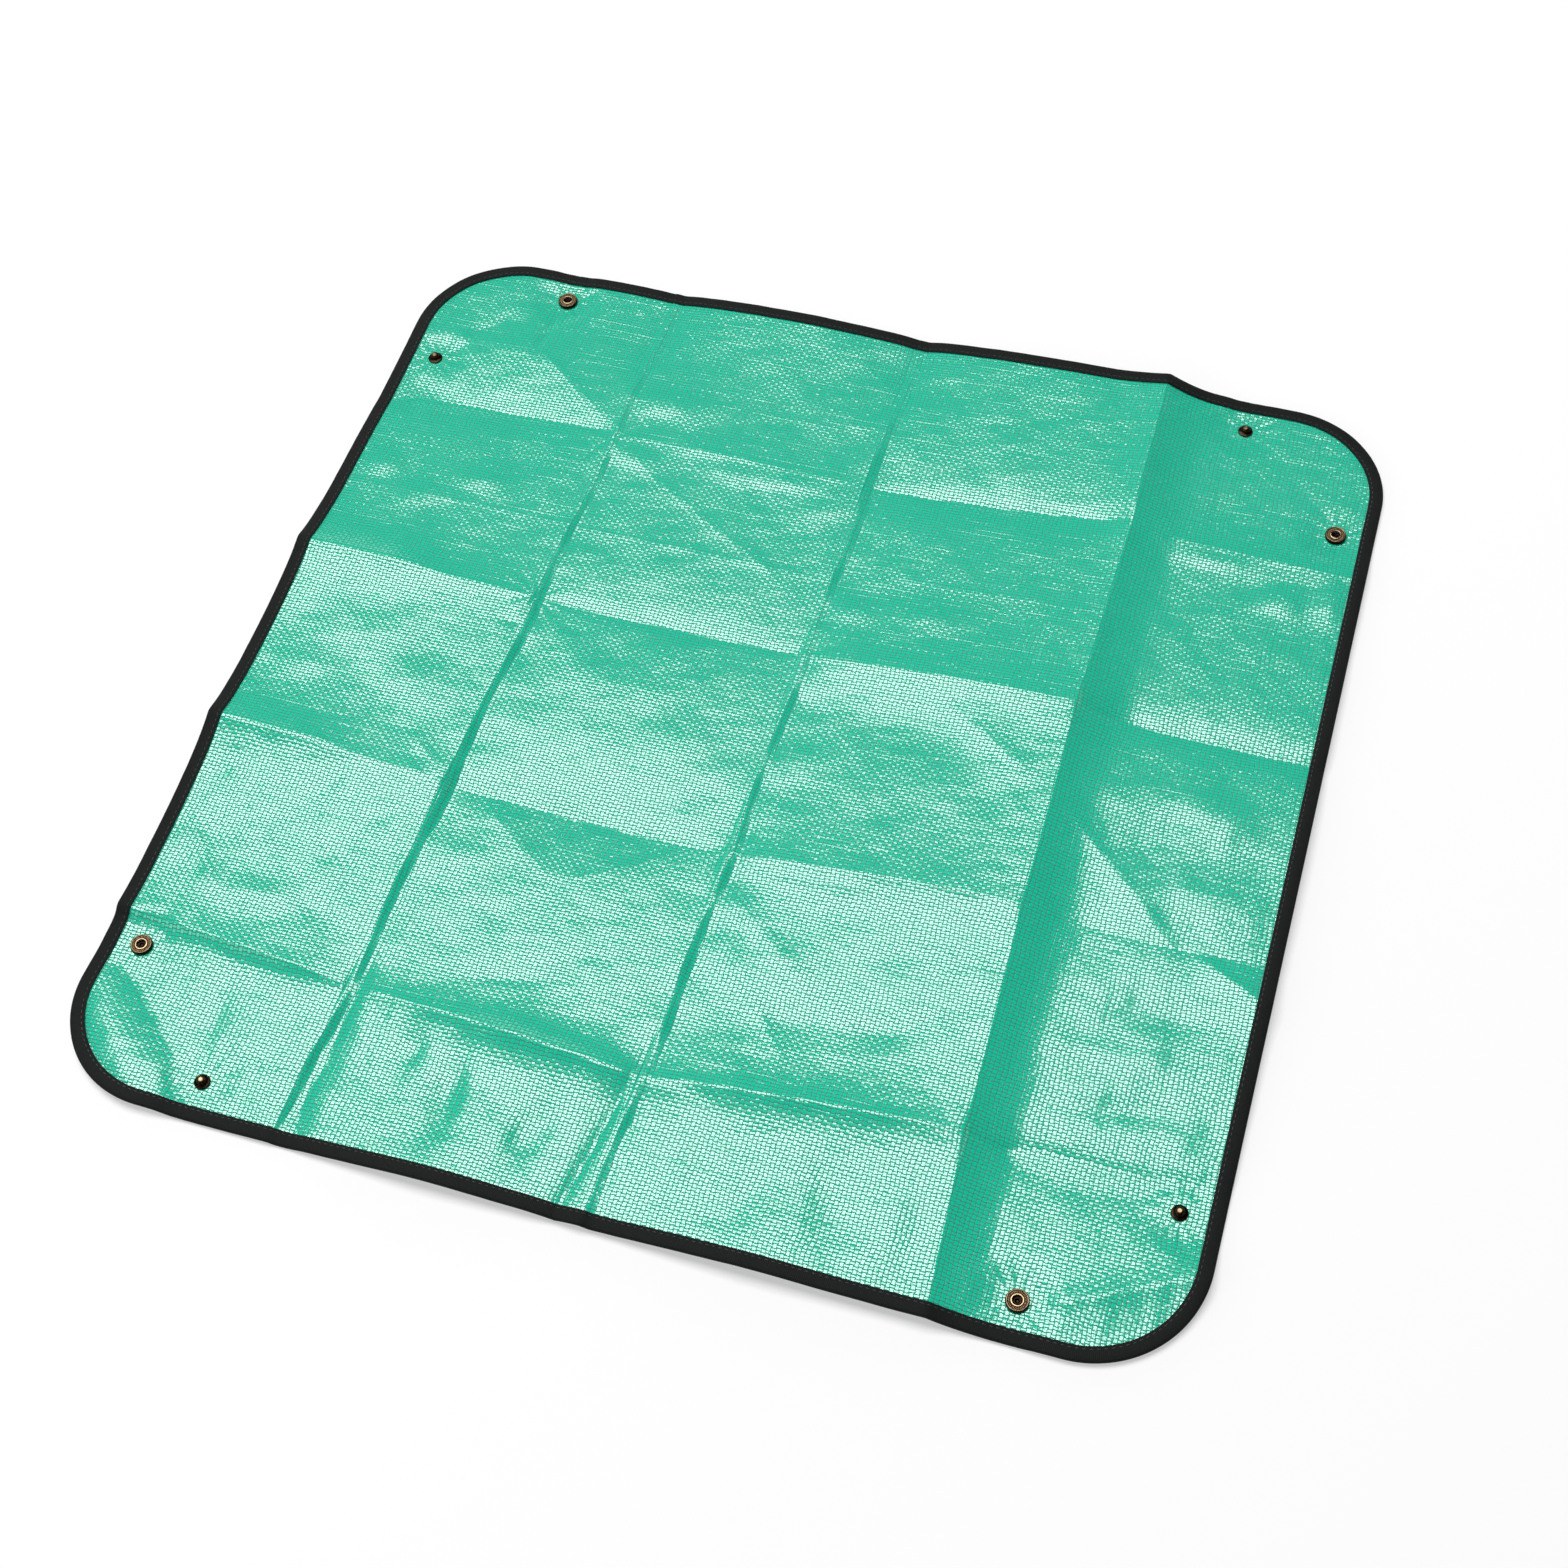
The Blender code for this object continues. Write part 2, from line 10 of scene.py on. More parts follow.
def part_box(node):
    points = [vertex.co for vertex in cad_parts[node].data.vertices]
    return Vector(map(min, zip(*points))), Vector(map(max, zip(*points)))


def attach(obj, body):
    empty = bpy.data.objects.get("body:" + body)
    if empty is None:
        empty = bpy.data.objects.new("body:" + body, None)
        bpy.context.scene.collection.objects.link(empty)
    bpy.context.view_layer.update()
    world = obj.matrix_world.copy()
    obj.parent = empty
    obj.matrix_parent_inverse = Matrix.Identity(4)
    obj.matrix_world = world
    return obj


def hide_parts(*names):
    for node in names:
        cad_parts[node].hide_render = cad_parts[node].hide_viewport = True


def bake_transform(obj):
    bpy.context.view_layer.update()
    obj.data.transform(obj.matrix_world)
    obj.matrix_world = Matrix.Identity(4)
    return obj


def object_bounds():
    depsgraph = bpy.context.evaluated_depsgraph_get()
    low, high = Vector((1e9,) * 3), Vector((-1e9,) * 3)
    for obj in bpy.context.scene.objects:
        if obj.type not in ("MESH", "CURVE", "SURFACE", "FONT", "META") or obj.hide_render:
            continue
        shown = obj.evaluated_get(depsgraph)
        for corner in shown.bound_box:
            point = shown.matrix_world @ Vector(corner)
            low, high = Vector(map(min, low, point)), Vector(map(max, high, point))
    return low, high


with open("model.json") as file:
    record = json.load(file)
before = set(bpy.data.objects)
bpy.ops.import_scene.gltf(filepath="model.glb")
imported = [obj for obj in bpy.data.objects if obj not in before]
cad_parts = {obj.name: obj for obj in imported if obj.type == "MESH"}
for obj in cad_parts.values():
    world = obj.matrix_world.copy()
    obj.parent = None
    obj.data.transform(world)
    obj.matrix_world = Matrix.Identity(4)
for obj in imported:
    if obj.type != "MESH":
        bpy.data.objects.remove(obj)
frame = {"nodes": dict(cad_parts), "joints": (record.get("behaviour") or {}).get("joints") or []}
cad_box = [list(corner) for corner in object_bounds()]


# Green sheet, its shape
# One square of woven polyethylene tapes, coated on both faces, with round corners. It was packed
# folded in four columns and five rows, so it lies in creases that turn from valley to ridge.

MM = 0.001
joint_place = {joint["name"]: joint["pos_m"] for joint in frame["joints"]}
half_side = cad_box[1][0]
fold_at = joint_place["fold_right"][0]
wall_height = half_side - fold_at
corner_radius = 68.5 * MM
sheet_thickness = 0.5 * MM
sheet_edge_inset = 1 * MM
binding_width = 9 * MM
tape_thickness = 0.7 * MM
tape_gap = 0.4 * MM
tape_crown = 0.35 * MM
binding_half_stack = sheet_thickness / 2 + tape_gap + tape_thickness + tape_crown

# Where the creases lie, as shares of half the tray's floor: those that run across, then the three
# front-to-back ones at the front edge, at each cross crease and at the back edge
cross_crease_shares = (-1, -0.372, 0.265, 0.902)
long_crease_shares = (
    (-0.830, -0.010, 0.858),
    (-0.800, 0.016, 0.832),
    (-0.775, 0.028, 0.816),
    (-0.752, 0.034, 0.808),
    (-0.735, 0.037, 0.810),
    (-0.730, 0.044, 0.805),
)
cross_stray_shares = (
    (0.040, -0.022, -0.064, -0.004, -0.006),
    (0.015, -0.013, -0.027, 0.010, 0.005),
    (0.000, -0.007, -0.002, 0.010, -0.002),
    (-0.002, -0.003, -0.018, 0.022, 0.005),
)
shoulder_share = 0.62

# Heights over the table, front edge to back edge, as shares of the relief. Columns: left edge, the
# three long creases, the foot of the right one's shoulder, right edge
relief = 20 * MM
height_shares = (
    (0.04, 0.14, 0.24, 0.40, 0.11, 0.11),
    (0.06, 0.21, 0.34, 0.50, 0.13, 0.14),
    (0.34, 0.40, 0.36, 0.76, 0.32, 0.38),
    (0.36, 0.42, 0.30, 0.84, 0.38, 0.40),
    (0.16, 0.26, 0.24, 0.54, 0.16, 0.12),
    (0.08, 0.26, 0.30, 0.50, 0.13, 0.08),
)
shoulder_softness = 1.8 * MM
crease_core = 0.7 * MM

# The cross creases in mm, front to back, one for each column: how far the crease stands over the
# sheet beside it (a valley is negative), and how far it reaches to the front and to the back
cross_crease_forms = (
    ((5.0, 6, 26), (4.8, 14, 12), (6.2, 13, 18), (-5.0, 18, 8)),
    ((3.6, 22, 26), (-4.8, 34, 22), (4.6, 16, 42), (-1.4, 10, 14)),
    ((3.6, 26, 16), (-3.0, 20, 14), (4.4, 26, 22), (-3.6, 18, 10)),
    ((-4.2, 14, 26), (1.8, 14, 20), (-3.6, 14, 14), (2.6, 16, 16)),
)

# The two left front-to-back creases drop on their right side: height of the crest, depth of the
# foot, width of the drop, and how far they reach to the left and to the right, in mm. Their strength
# changes from the front edge to the back edge, as shares at the same rows as the heights
drop_creases = ((0.7, 1.9, 7, 16, 24), (0.7, 1.9, 8, 18, 28))
drop_strengths = ((0.9, 1.0, 1.1, 0.8, 0.55, 0.6), (0.8, 1.0, 1.0, 0.8, 0.65, 0.6))
drop_unevenness = 0.30
drop_wander = 1.2 * MM
drop_wander_length = 21 * MM
drop_wave_lengths = (9 * MM, 5.3 * MM, 16 * MM)
ridge_crease = (1.2, 16, 10)


def smooth_share(value):
    """A smooth step from 0 to 1: 3v^2 - 2v^3."""
    held = np.clip(value, 0, 1)
    return held * held * (3 - 2 * held)


def blunt(distance, core=crease_core):
    """A distance with its sharp turn at zero rounded: sqrt(d^2 + core^2) - core."""
    return np.sqrt(distance * distance + core * core) - core


def long_creases(y):
    """Where the front-to-back creases lie at y, as x, and the foot of the right one's shoulder."""
    rows = [-half_side] + [share * fold_at for share in cross_crease_shares] + [half_side]
    creases = [fold_at * np.interp(y, rows, shares) for shares in zip(*long_crease_shares)]
    foot = creases[-1] + shoulder_share * (fold_at - creases[-1])
    return creases, foot


def cross_creases(x):
    """Where the creases that run across the mat lie at x, as y."""
    places = [-half_side] + long_creases(0)[0] + [half_side]
    strays = [np.interp(x, places, shares) for shares in cross_stray_shares]
    return [fold_at * (share + stray) for share, stray in zip(cross_crease_shares, strays)]


def place_between(lines, value):
    """Which two neighbouring lines a value lies between, and its share of the way from the first."""
    stack = np.stack(lines)
    index = np.clip((value >= stack).sum(axis=0) - 1, 0, len(lines) - 2)
    start = np.take_along_axis(stack, index[None], 0)[0]
    end = np.take_along_axis(stack, index[None] + 1, 0)[0]
    return index, (value - start) / (end - start)


def drop_height(beside, crest, foot, width, left_reach, right_reach):
    """Across a crease that drops on its right: a crest that fades to the left, a smooth step down, and
    a foot that fades to the right, both as exp(-distance / reach)."""
    left = crest * np.exp(np.minimum(beside, 0) / (left_reach * MM))
    right = -foot * np.exp(-np.maximum(beside - width * MM, 0) / (right_reach * MM))
    down = smooth_share(beside / (width * MM))
    return (left * (1 - down) + right * down) * MM


def crease_height(x, y):
    """The height table read straight between its lines, with the shoulder's foot rounded, plus each
    crease's depth, which fades as exp(-distance / reach)."""
    edge = half_side + 0 * x
    creases, foot = long_creases(y)
    crossings = cross_creases(x)
    heights = relief * np.array(height_shares)
    row, row_share = place_between([-edge] + crossings + [edge], y)
    lines = [-edge] + creases + [foot, edge]
    level = [heights[row, k] * (1 - row_share) + heights[row + 1, k] * row_share for k in range(6)]
    slopes = []
    for k in range(5):
        climb = (level[k + 1] - level[k]) * (x - lines[k])
        slopes.append(level[k] + climb / (lines[k + 1] - lines[k]))
    shoulder = slopes[4] + shoulder_softness * np.logaddexp(0, (slopes[3] - slopes[4]) / shoulder_softness)
    height = np.select([x < lines[1], x < lines[2], x < lines[3]], slopes[:3], shoulder)

    rows = [-half_side] + [share * fold_at for share in cross_crease_shares] + [half_side]
    for crease, form, strengths in zip(creases, drop_creases, drop_strengths):
        phases = (form[0], form[4], 0)
        wave = sum(np.sin(y / length + phase) for length, phase in zip(drop_wave_lengths, phases))
        strength = np.interp(y, rows, strengths) * (1 + drop_unevenness * wave / 2)
        wander = drop_wander * np.sin(y / drop_wander_length)
        height = height + strength * drop_height(x - crease - wander, *form)
    crest, left_reach, right_reach = ridge_crease
    beside = x - creases[-1]
    reach = np.where(beside < 0, left_reach, right_reach) * MM
    height = height + crest * MM * np.exp(-blunt(beside) / reach)

    panel, panel_share = place_between([-edge] + creases + [edge], x)
    swell = np.sqrt(np.clip(4 * panel_share * (1 - panel_share), 0, 1))
    at_side = ((panel == 0) & (panel_share < 0.5)) | ((panel == len(creases)) & (panel_share > 0.5))
    swell = np.where(at_side, 1, swell)
    for line, forms in zip(crossings, cross_crease_forms):
        depth, front_reach, back_reach = (np.array(column)[panel] * MM for column in zip(*forms))
        beside = y - line
        fade = np.exp(-blunt(beside) / np.where(beside < 0, front_reach, back_reach))
        height = height + depth * swell * fade
    return height


# Smaller folds that were pressed in by the packing: start and end, height of the crest, and how far
# it reaches to its left and to its right, all in mm. A negative crest is a valley.
small_folds = (
    (-400, -79, -230, -83, 4.5, 22, 22),
    (-400, 65, -220, 62, 4.6, 24, 24),
    (-169, 440, -171, 250, -3.2, 18, 18),
    (10, 440, 10, 250, -4.2, 18, 18),
    (184, 440, 184, 150, 4.4, 24, 24),
    (-338, 261, -232, 267, 1.3, 12, 26),
    (-275, 286, -150, 196, 3.0, 20, 32),
    (-178, 202, 12, 94, 0.5, 5, 4),
    (-400, 122, 60, 123, 0.25, 3, 3),
    (-20, 127, 250, 141, 0.25, 3, 3),
    (95, 52, 178, 0, 1.6, 12, 10),
    (184, 2, 290, -95, 2.0, 12, 13),
    (-370, -212, -191, -367, -1.4, 14, 10),
    (-216, -60, -175, -84, 0.6, 5, 4),
    (-192, 38, -172, 36, -0.5, 3, 3),
    (280, -80, 380, -132, 2.8, 14, 12),
    (226, -330, 370, -258, 4.0, 22, 18),
    (-158, -92, -80, -142, 0.8, 16, 8),
    (-92, -142, -14, -92, 0.8, 8, 16),
    (-130, -238, 50, -251, 3.2, 8, 12),
    (16, -100, 110, -97, 1.0, 6, 7),
    (6, -112, 96, -176, 2.0, 16, 10),
    (14, -136, 84, -222, 2.4, 12, 10),
    (44, -250, 48, -328, 1.2, 7, 8),
    (-242, 318, -248, 254, -1.6, 5, 6),
    (-270, 300, -304, 258, -1.2, 10, 10),
    (-322, -150, -283, -202, 1.1, 5, 7),
    (-120, -212, -60, -200, -0.8, 8, 8),
    (6, -205, -26, -395, -2.9, 7, 10),
    (-174, -205, -185, -395, -2.0, 6, 11),
)

# Soft swells: centre, half length, half width, turn in degrees and height, in mm
soft_swells = (
    (-140, 240, 28, 13, 0, 1.8),
    (-50, 192, 40, 7, 3, 0.8),
    (-10, 178, 14, 12, 40, 1.0),
    (292, 178, 16, 10, 10, 1.6),
    (243, 200, 28, 7, 0, 1.0),
    (322, 186, 10, 16, 0, 1.6),
    (28, 102, 14, 10, 0, 1.3),
    (85, 106, 20, 10, 5, 1.1),
    (-280, 120, 18, 11, 30, 1.3),
    (-240, 144, 16, 9, 0, 1.2),
    (-312, 142, 12, 12, 0, 1.2),
    (-225, 170, 16, 22, 20, -1.2),
    (-150, 188, 16, 10, -20, 1.3),
    (-85, 345, 60, 50, 0, 2.4),
    (100, 345, 60, 50, 0, 1.6),
    (-265, 8, 34, 18, 15, 1.4),
    (-225, -22, 30, 16, -10, 1.2),
    (-300, -28, 20, 12, 0, 0.9),
    (-85, -88, 50, 40, 0, -1.8),
    (-262, -192, 20, 10, 0, 1.6),
    (-212, -196, 20, 9, -20, -0.8),
    (-296, -308, 60, 22, -41, 6.2),
    (-252, -112, 16, 8, 50, -0.8),
    (-206, -122, 12, 6, 40, -0.7),
    (-304, -156, 10, 16, 0, -0.8),
    (-228, -152, 8, 10, 0, -0.7),
    (-318, -118, 8, 12, 0, -0.7),
    (-118, -168, 12, 9, 0, -0.7),
    (284, -128, 34, 12, 4, -1.8),
    (278, -190, 32, 9, 10, -1.5),
    (262, -160, 34, 7, 0, 0.8),
    (-101, -284, 10, 26, 4, -2.8),
    (-131, -266, 10, 14, -8, -1.9),
    (-253, -274, 10, 24, 6, -1.4),
    (-46, -296, 11, 24, -10, -2.6),
    (132, -290, 15, 26, 14, -2.1),
    (166, -292, 9, 22, 0, 1.4),
    (84, -300, 9, 20, -14, -1.3),
    (90, 24, 55, 26, 0, -2.2),
    (62, -190, 34, 16, 0, -2.2),
    (128, -182, 24, 11, 24, -1.5),
    (280, 10, 34, 16, -10, 2.0),
    (225, 8, 24, 20, 0, 1.6),
    (285, -48, 40, 14, 0, 1.6),
    (-60, -30, 60, 24, 0, 0.9),
    (-100, 10, 50, 14, 0, 0.9),
    (-90, -350, 60, 55, 0, 6.0),
    (98, -350, 50, 50, 0, 4.5),
)

# Puckers that spread like rays from the crossings of the creases: centre, height, reach in mm and
# the number of rays
ray_puckers = (
    (-172, 60, 0.15, 10, 9),
    (-176, -84, 0.10, 8, 7),
    (9, -88, 0.10, 8, 8),
    (-170, 200, 0.10, 9, 7),
)

# Ripples all over the sheet, from the shortest wavelength to the longest
ripple_lengths = (11 * MM, 60 * MM)
ripple_count = 44
ripple_steepness = 0.0009
ripple_seed = 7
table_softness = 0.3 * MM


def small_fold_height(x, y, start_x, start_y, end_x, end_y, crest, left_reach, right_reach):
    """A crest along a straight line that falls off as exp(-distance / reach), with its own reach on
    each side, and dies away over the last third at both ends."""
    length = math.hypot(end_x - start_x, end_y - start_y) * MM
    along_x, along_y = (end_x - start_x) * MM / length, (end_y - start_y) * MM / length
    from_x, from_y = x - start_x * MM, y - start_y * MM
    along = (from_x * along_x + from_y * along_y) / length
    across = from_y * along_x - from_x * along_y
    reach = np.where(across > 0, left_reach, right_reach) * MM
    ends = smooth_share(3 * along) * smooth_share(3 * (1 - along))
    return crest * MM * ends * np.exp(-blunt(across) / reach)


def swell_height(x, y, centre_x, centre_y, half_length, half_width, turn, height):
    """A round rise: height * exp(-(u / half length)^2 - (v / half width)^2)."""
    turn = math.radians(turn)
    from_x, from_y = x - centre_x * MM, y - centre_y * MM
    u = (from_x * math.cos(turn) + from_y * math.sin(turn)) / (half_length * MM)
    v = (from_y * math.cos(turn) - from_x * math.sin(turn)) / (half_width * MM)
    return height * MM * np.exp(-u * u - v * v)


def ray_height(x, y, centre_x, centre_y, height, reach, rays):
    """Rays round a point: height * cos(rays * angle) * (r / reach) * exp(1 - r / reach), bent by a
    slower wave so that they differ."""
    from_x, from_y = x - centre_x * MM, y - centre_y * MM
    distance = np.hypot(from_x, from_y) / (reach * MM)
    angle = np.arctan2(from_y, from_x)
    phase = centre_x + centre_y
    rays_round = np.cos(rays * angle + phase + 1.2 * np.sin(2 * angle + phase))
    return height * MM * rays_round * distance * np.exp(1 - distance)


def ripple_height(x, y):
    """Fine unevenness of the sheet: a sum of plane waves of seeded direction and phase, whose height
    grows with their wavelength."""
    chance = np.random.default_rng(ripple_seed)
    height = 0 * x
    for wavelength in np.geomspace(*ripple_lengths, ripple_count):
        direction = chance.uniform(0, math.tau)
        phase = chance.uniform(0, math.tau)
        wave = (x * math.cos(direction) + y * math.sin(direction)) * math.tau / wavelength
        height = height + ripple_steepness * wavelength * np.sin(wave + phase)
    return height


# Snap halves sit at the same place in each ear, level on the table, and the sheet puckers round them
socket_names = [name[len("snap_cap_"):] for name in frame["nodes"] if name.startswith("snap_cap_")]
stud_names = [name[len("snap_post_"):] for name in frame["nodes"] if name.startswith("snap_post_")]


def snap_place(node):
    """The middle of a snap half, as x and y."""
    low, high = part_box(node)
    return (low.x + high.x) / 2, (low.y + high.y) / 2


socket_places = {name: snap_place("snap_cap_" + name) for name in sorted(socket_names)}
stud_places = {name: snap_place("snap_post_" + name) for name in sorted(stud_names)}
snap_places = list(socket_places.values()) + list(stud_places.values())
flange_thickness = 0.9 * MM
touch_gap = 0.3 * MM
snap_sheet_height = flange_thickness + touch_gap + sheet_thickness / 2
snap_flat_reach = 9 * MM
snap_fade_reach = 27 * MM
snap_pucker_rays = 11
snap_pucker_height = 0.16


def inner_point(x, y):
    """The nearest point inside the binding's inner edge, so the sheet lies level under the binding."""
    limit = half_side - binding_width
    centre = half_side - corner_radius
    inner_radius = corner_radius - binding_width
    from_x, from_y = np.abs(x) - centre, np.abs(y) - centre
    reach = np.hypot(from_x, from_y)
    outside = (from_x > 0) & (from_y > 0) & (reach > inner_radius)
    pull = inner_radius / np.where(outside, reach, 1)
    arc_x, arc_y = np.sign(x) * (centre + from_x * pull), np.sign(y) * (centre + from_y * pull)
    held_x, held_y = np.clip(x, -limit, limit), np.clip(y, -limit, limit)
    return np.where(outside, arc_x, held_x), np.where(outside, arc_y, held_y)


def edge_distance(x, y):
    """Distance in from the mat's outline, a square with round corners."""
    from_x = np.abs(x) - half_side + corner_radius
    from_y = np.abs(y) - half_side + corner_radius
    outside = np.hypot(np.maximum(from_x, 0), np.maximum(from_y, 0))
    return corner_radius - outside - np.minimum(np.maximum(from_x, from_y), 0)


def sheet_height(x, y):
    """Height over the table of the sheet's middle: the creases, the small folds, swells, rays and
    ripples, pressed flat at each snap, and never through the table."""
    at_edge = 1 - smooth_share(edge_distance(x, y) / (2 * binding_width) - 0.5)
    x, y = inner_point(x, y)
    height = crease_height(x, y) + ripple_height(x, y)
    for fold in small_folds:
        height = height + small_fold_height(x, y, *fold)
    for swell in soft_swells:
        height = height + swell_height(x, y, *swell)
    for pucker in ray_puckers:
        height = height + ray_height(x, y, *pucker)
    for place_x, place_y in snap_places:
        distance = np.hypot(x - place_x, y - place_y)
        press = 1 - smooth_share((distance - snap_flat_reach) / (snap_fade_reach - snap_flat_reach))
        height = height * (1 - press) + snap_sheet_height * press
        round_snap = ray_height(
            x, y, place_x / MM, place_y / MM, snap_pucker_height, snap_flat_reach / MM, snap_pucker_rays
        )
        height = height + round_snap * smooth_share(distance / snap_flat_reach - 0.5)
    least = sheet_thickness / 2 + at_edge * (binding_half_stack - sheet_thickness / 2)
    return least + table_softness * np.logaddexp(0, (height - least) / table_softness)


# Green sheet, its panels
# The mat bends on the tray's fold lines, so the sheet is laid out as a floor, four walls and eight
# ears, which meet edge to edge.

slope_step = 0.4 * MM
crowding = 0.55
floor_column_steps = (24, 80, 78, 14, 10)
floor_row_steps = (64, 64, 64, 14)
outward_steps = 50
ear_straight_steps = 18
ear_arc_steps = 24
weld_distance = 0.001 * MM
sharp_angle = math.radians(50)
side_directions = {"front": (0, -1), "right": (1, 0), "back": (0, 1), "left": (-1, 0)}


def crowded_bands(steps):
    """Band number and share of the way through it for every station, crowded towards the lines:
    share = (1 - c) s + c (1 - cos(pi s)) / 2."""
    bands, shares = [], []
    for band, count in enumerate(steps):
        even = np.arange(count) / count
        bands.append(np.full(count, band))
        shares.append((1 - crowding) * even + crowding * (1 - np.cos(math.pi * even)) / 2)
    bands.append(np.array([len(steps) - 1]))
    shares.append(np.array([1.0]))
    return np.concatenate(bands), np.concatenate(shares)


def stations_between(lines, bands, shares):
    """Places between lines, each line given at every point of the grid."""
    stack = np.stack(lines)
    start = np.take_along_axis(stack, bands[None], 0)[0]
    end = np.take_along_axis(stack, bands[None] + 1, 0)[0]
    return start + (end - start) * shares


def columns_at(y, bands, shares):
    """x of the floor's columns at y."""
    creases, foot = long_creases(y)
    side = fold_at + 0 * y
    return stations_between([-side] + creases + [foot, side], bands, shares)


def rows_at(x, bands, shares):
    """y of the floor's rows at x."""
    side = fold_at + 0 * x
    return stations_between([-side] + cross_creases(x)[1:] + [side], bands, shares)


column_bands, column_shares = crowded_bands(floor_column_steps)
row_bands, row_shares = crowded_bands(floor_row_steps)
_, outward_shares = crowded_bands((outward_steps,))
outward_places = fold_at + (wall_height - sheet_edge_inset) * outward_shares


def floor_plan():
    """The floor's grid, which follows the creases both ways: x and y are worked out in turn, twice."""
    shape = (len(row_bands), len(column_bands))
    columns = np.broadcast_to(column_bands, shape), np.broadcast_to(column_shares, shape)
    rows = np.broadcast_to(row_bands[:, None], shape), np.broadcast_to(row_shares[:, None], shape)
    y = rows_at(np.zeros(shape), *rows)
    for _ in range(2):
        x = columns_at(y, *columns)
        y = rows_at(x, *rows)
    return x, y


def wall_plan(side):
    """A wall's grid: the floor's columns or rows carried on, outward from the fold line."""
    across_x, across_y = side_directions[side]
    if across_x:
        shape = (len(outward_places), len(row_bands))
        x = np.broadcast_to(across_x * outward_places[:, None], shape)
        return x, rows_at(x, np.broadcast_to(row_bands, shape), np.broadcast_to(row_shares, shape))
    shape = (len(outward_places), len(column_bands))
    y = np.broadcast_to(across_y * outward_places[:, None], shape)
    return columns_at(y, np.broadcast_to(column_bands, shape), np.broadcast_to(column_shares, shape)), y


def ear_rim(inset):
    """An ear's rim at distances in from the outline, one row each: a straight run, then an eighth of a
    circle up to the diagonal. Returns across and outward distances from the floor's corner."""
    centre = wall_height - corner_radius
    radius = corner_radius - inset
    straight = np.linspace(0, centre, ear_straight_steps + 1)[:-1] + 0 * inset
    angles = np.linspace(0, math.pi / 4, ear_arc_steps + 1)
    across = np.concatenate([straight, centre + radius * np.sin(angles)], axis=1)
    outward = np.concatenate([wall_height - inset + 0 * straight, centre + radius * np.cos(angles)], axis=1)
    return across, outward


def ear_to_mat(wall, corner, across, outward):
    """Plan places of an ear, from distances across and outward from the floor's corner."""
    wall_x, wall_y = side_directions[wall]
    corner_x, corner_y = side_directions[corner]
    x = wall_x * (fold_at + outward) + corner_x * (fold_at + across)
    y = wall_y * (fold_at + outward) + corner_y * (fold_at + across)
    return x, y


def ear_plan(wall, corner):
    """An ear's grid: its rim, drawn in to the floor's corner at the same shares as its wall's rows."""
    across, outward = ear_rim(np.array([[sheet_edge_inset]]))
    shares = outward_shares[:, None]
    return ear_to_mat(wall, corner, shares * across, shares * outward)


def grid_faces(rows, columns, start=0):
    """The four-sided faces of a grid of vertices."""
    corner = start + (np.arange(rows - 1)[:, None] * columns + np.arange(columns - 1)).ravel()
    return np.stack([corner, corner + 1, corner + columns + 1, corner + columns], axis=1)


def mesh_object(name, vertices, faces, plan, wear_and_painted_light=None):
    """A new object with its place in its mesh, a UV map from its points' plan, and their wear share,
    which also carries painted light, where it is given. Points that fall together become one, and its
    faces are turned to point outward."""
    mesh = bpy.data.meshes.new(name)
    mesh.from_pydata(vertices.reshape(-1, 3), [], faces)
    corners = np.empty(len(mesh.loops), int)
    mesh.loops.foreach_get("vertex_index", corners)
    mesh.uv_layers.new(name="plan").data.foreach_set("uv", plan.reshape(-1, 2)[corners].ravel())
    if wear_and_painted_light is not None:
        mesh.attributes.new("wear_and_painted_light", "FLOAT", "POINT").data.foreach_set("value", wear_and_painted_light.ravel())
    shape = bmesh.new()
    shape.from_mesh(mesh)
    bmesh.ops.remove_doubles(shape, verts=shape.verts, dist=weld_distance)
    bmesh.ops.recalc_face_normals(shape, faces=shape.faces)
    shape.to_mesh(mesh)
    shape.free()
    mesh.shade_smooth()
    mesh.set_sharp_from_angle(angle=sharp_angle)
    obj = bpy.data.objects.new(name, mesh)
    bpy.context.scene.collection.objects.link(obj)
    return obj


def vertex_places(mesh):
    """All vertex places of a mesh, one row each."""
    places = np.empty(len(mesh.vertices) * 3)
    mesh.vertices.foreach_get("co", places)
    return places.reshape(-1, 3)


def sheet_panel(name, x, y):
    """A panel of the sheet with both its faces and its edge. Its normals come from the slope of the
    whole sheet, so panels that meet show no line, and its UV map is its plan on the whole mat."""
    height = sheet_height(x, y)
    rows, columns = x.shape
    top = np.stack([x, y, height + sheet_thickness / 2], axis=-1).reshape(-1, 3)
    under = np.stack([x, y, height - sheet_thickness / 2], axis=-1).reshape(-1, 3)
    count = rows * columns
    numbers = np.arange(count).reshape(rows, columns)
    rim = np.concatenate([numbers[0], numbers[1:, -1], numbers[-1, -2::-1], numbers[-2:0:-1, 0]])
    after = np.roll(rim, -1)
    edge = np.stack([rim, after, after + count, rim + count], axis=1)
    faces = np.concatenate([grid_faces(rows, columns), grid_faces(rows, columns, count)[:, ::-1], edge])
    both = np.concatenate([top, under])
    panel = mesh_object(name, both, faces.tolist(), both[:, :2])

    places = vertex_places(panel.data)
    place_x, place_y = places[:, 0], places[:, 1]
    middle = sheet_height(place_x, place_y)
    slope_x = (sheet_height(place_x + slope_step, place_y) - middle) / slope_step
    slope_y = (sheet_height(place_x, place_y + slope_step) - middle) / slope_step
    normals = np.stack([-slope_x, -slope_y, np.ones_like(middle)], axis=1)
    normals = normals / np.linalg.norm(normals, axis=1, keepdims=True)
    normals = normals * np.where(places[:, 2:] > middle[:, None], 1, -1)
    panel.data.normals_split_custom_set_from_vertices(normals)
    panel.data.materials.append(green_sheet)
    return panel
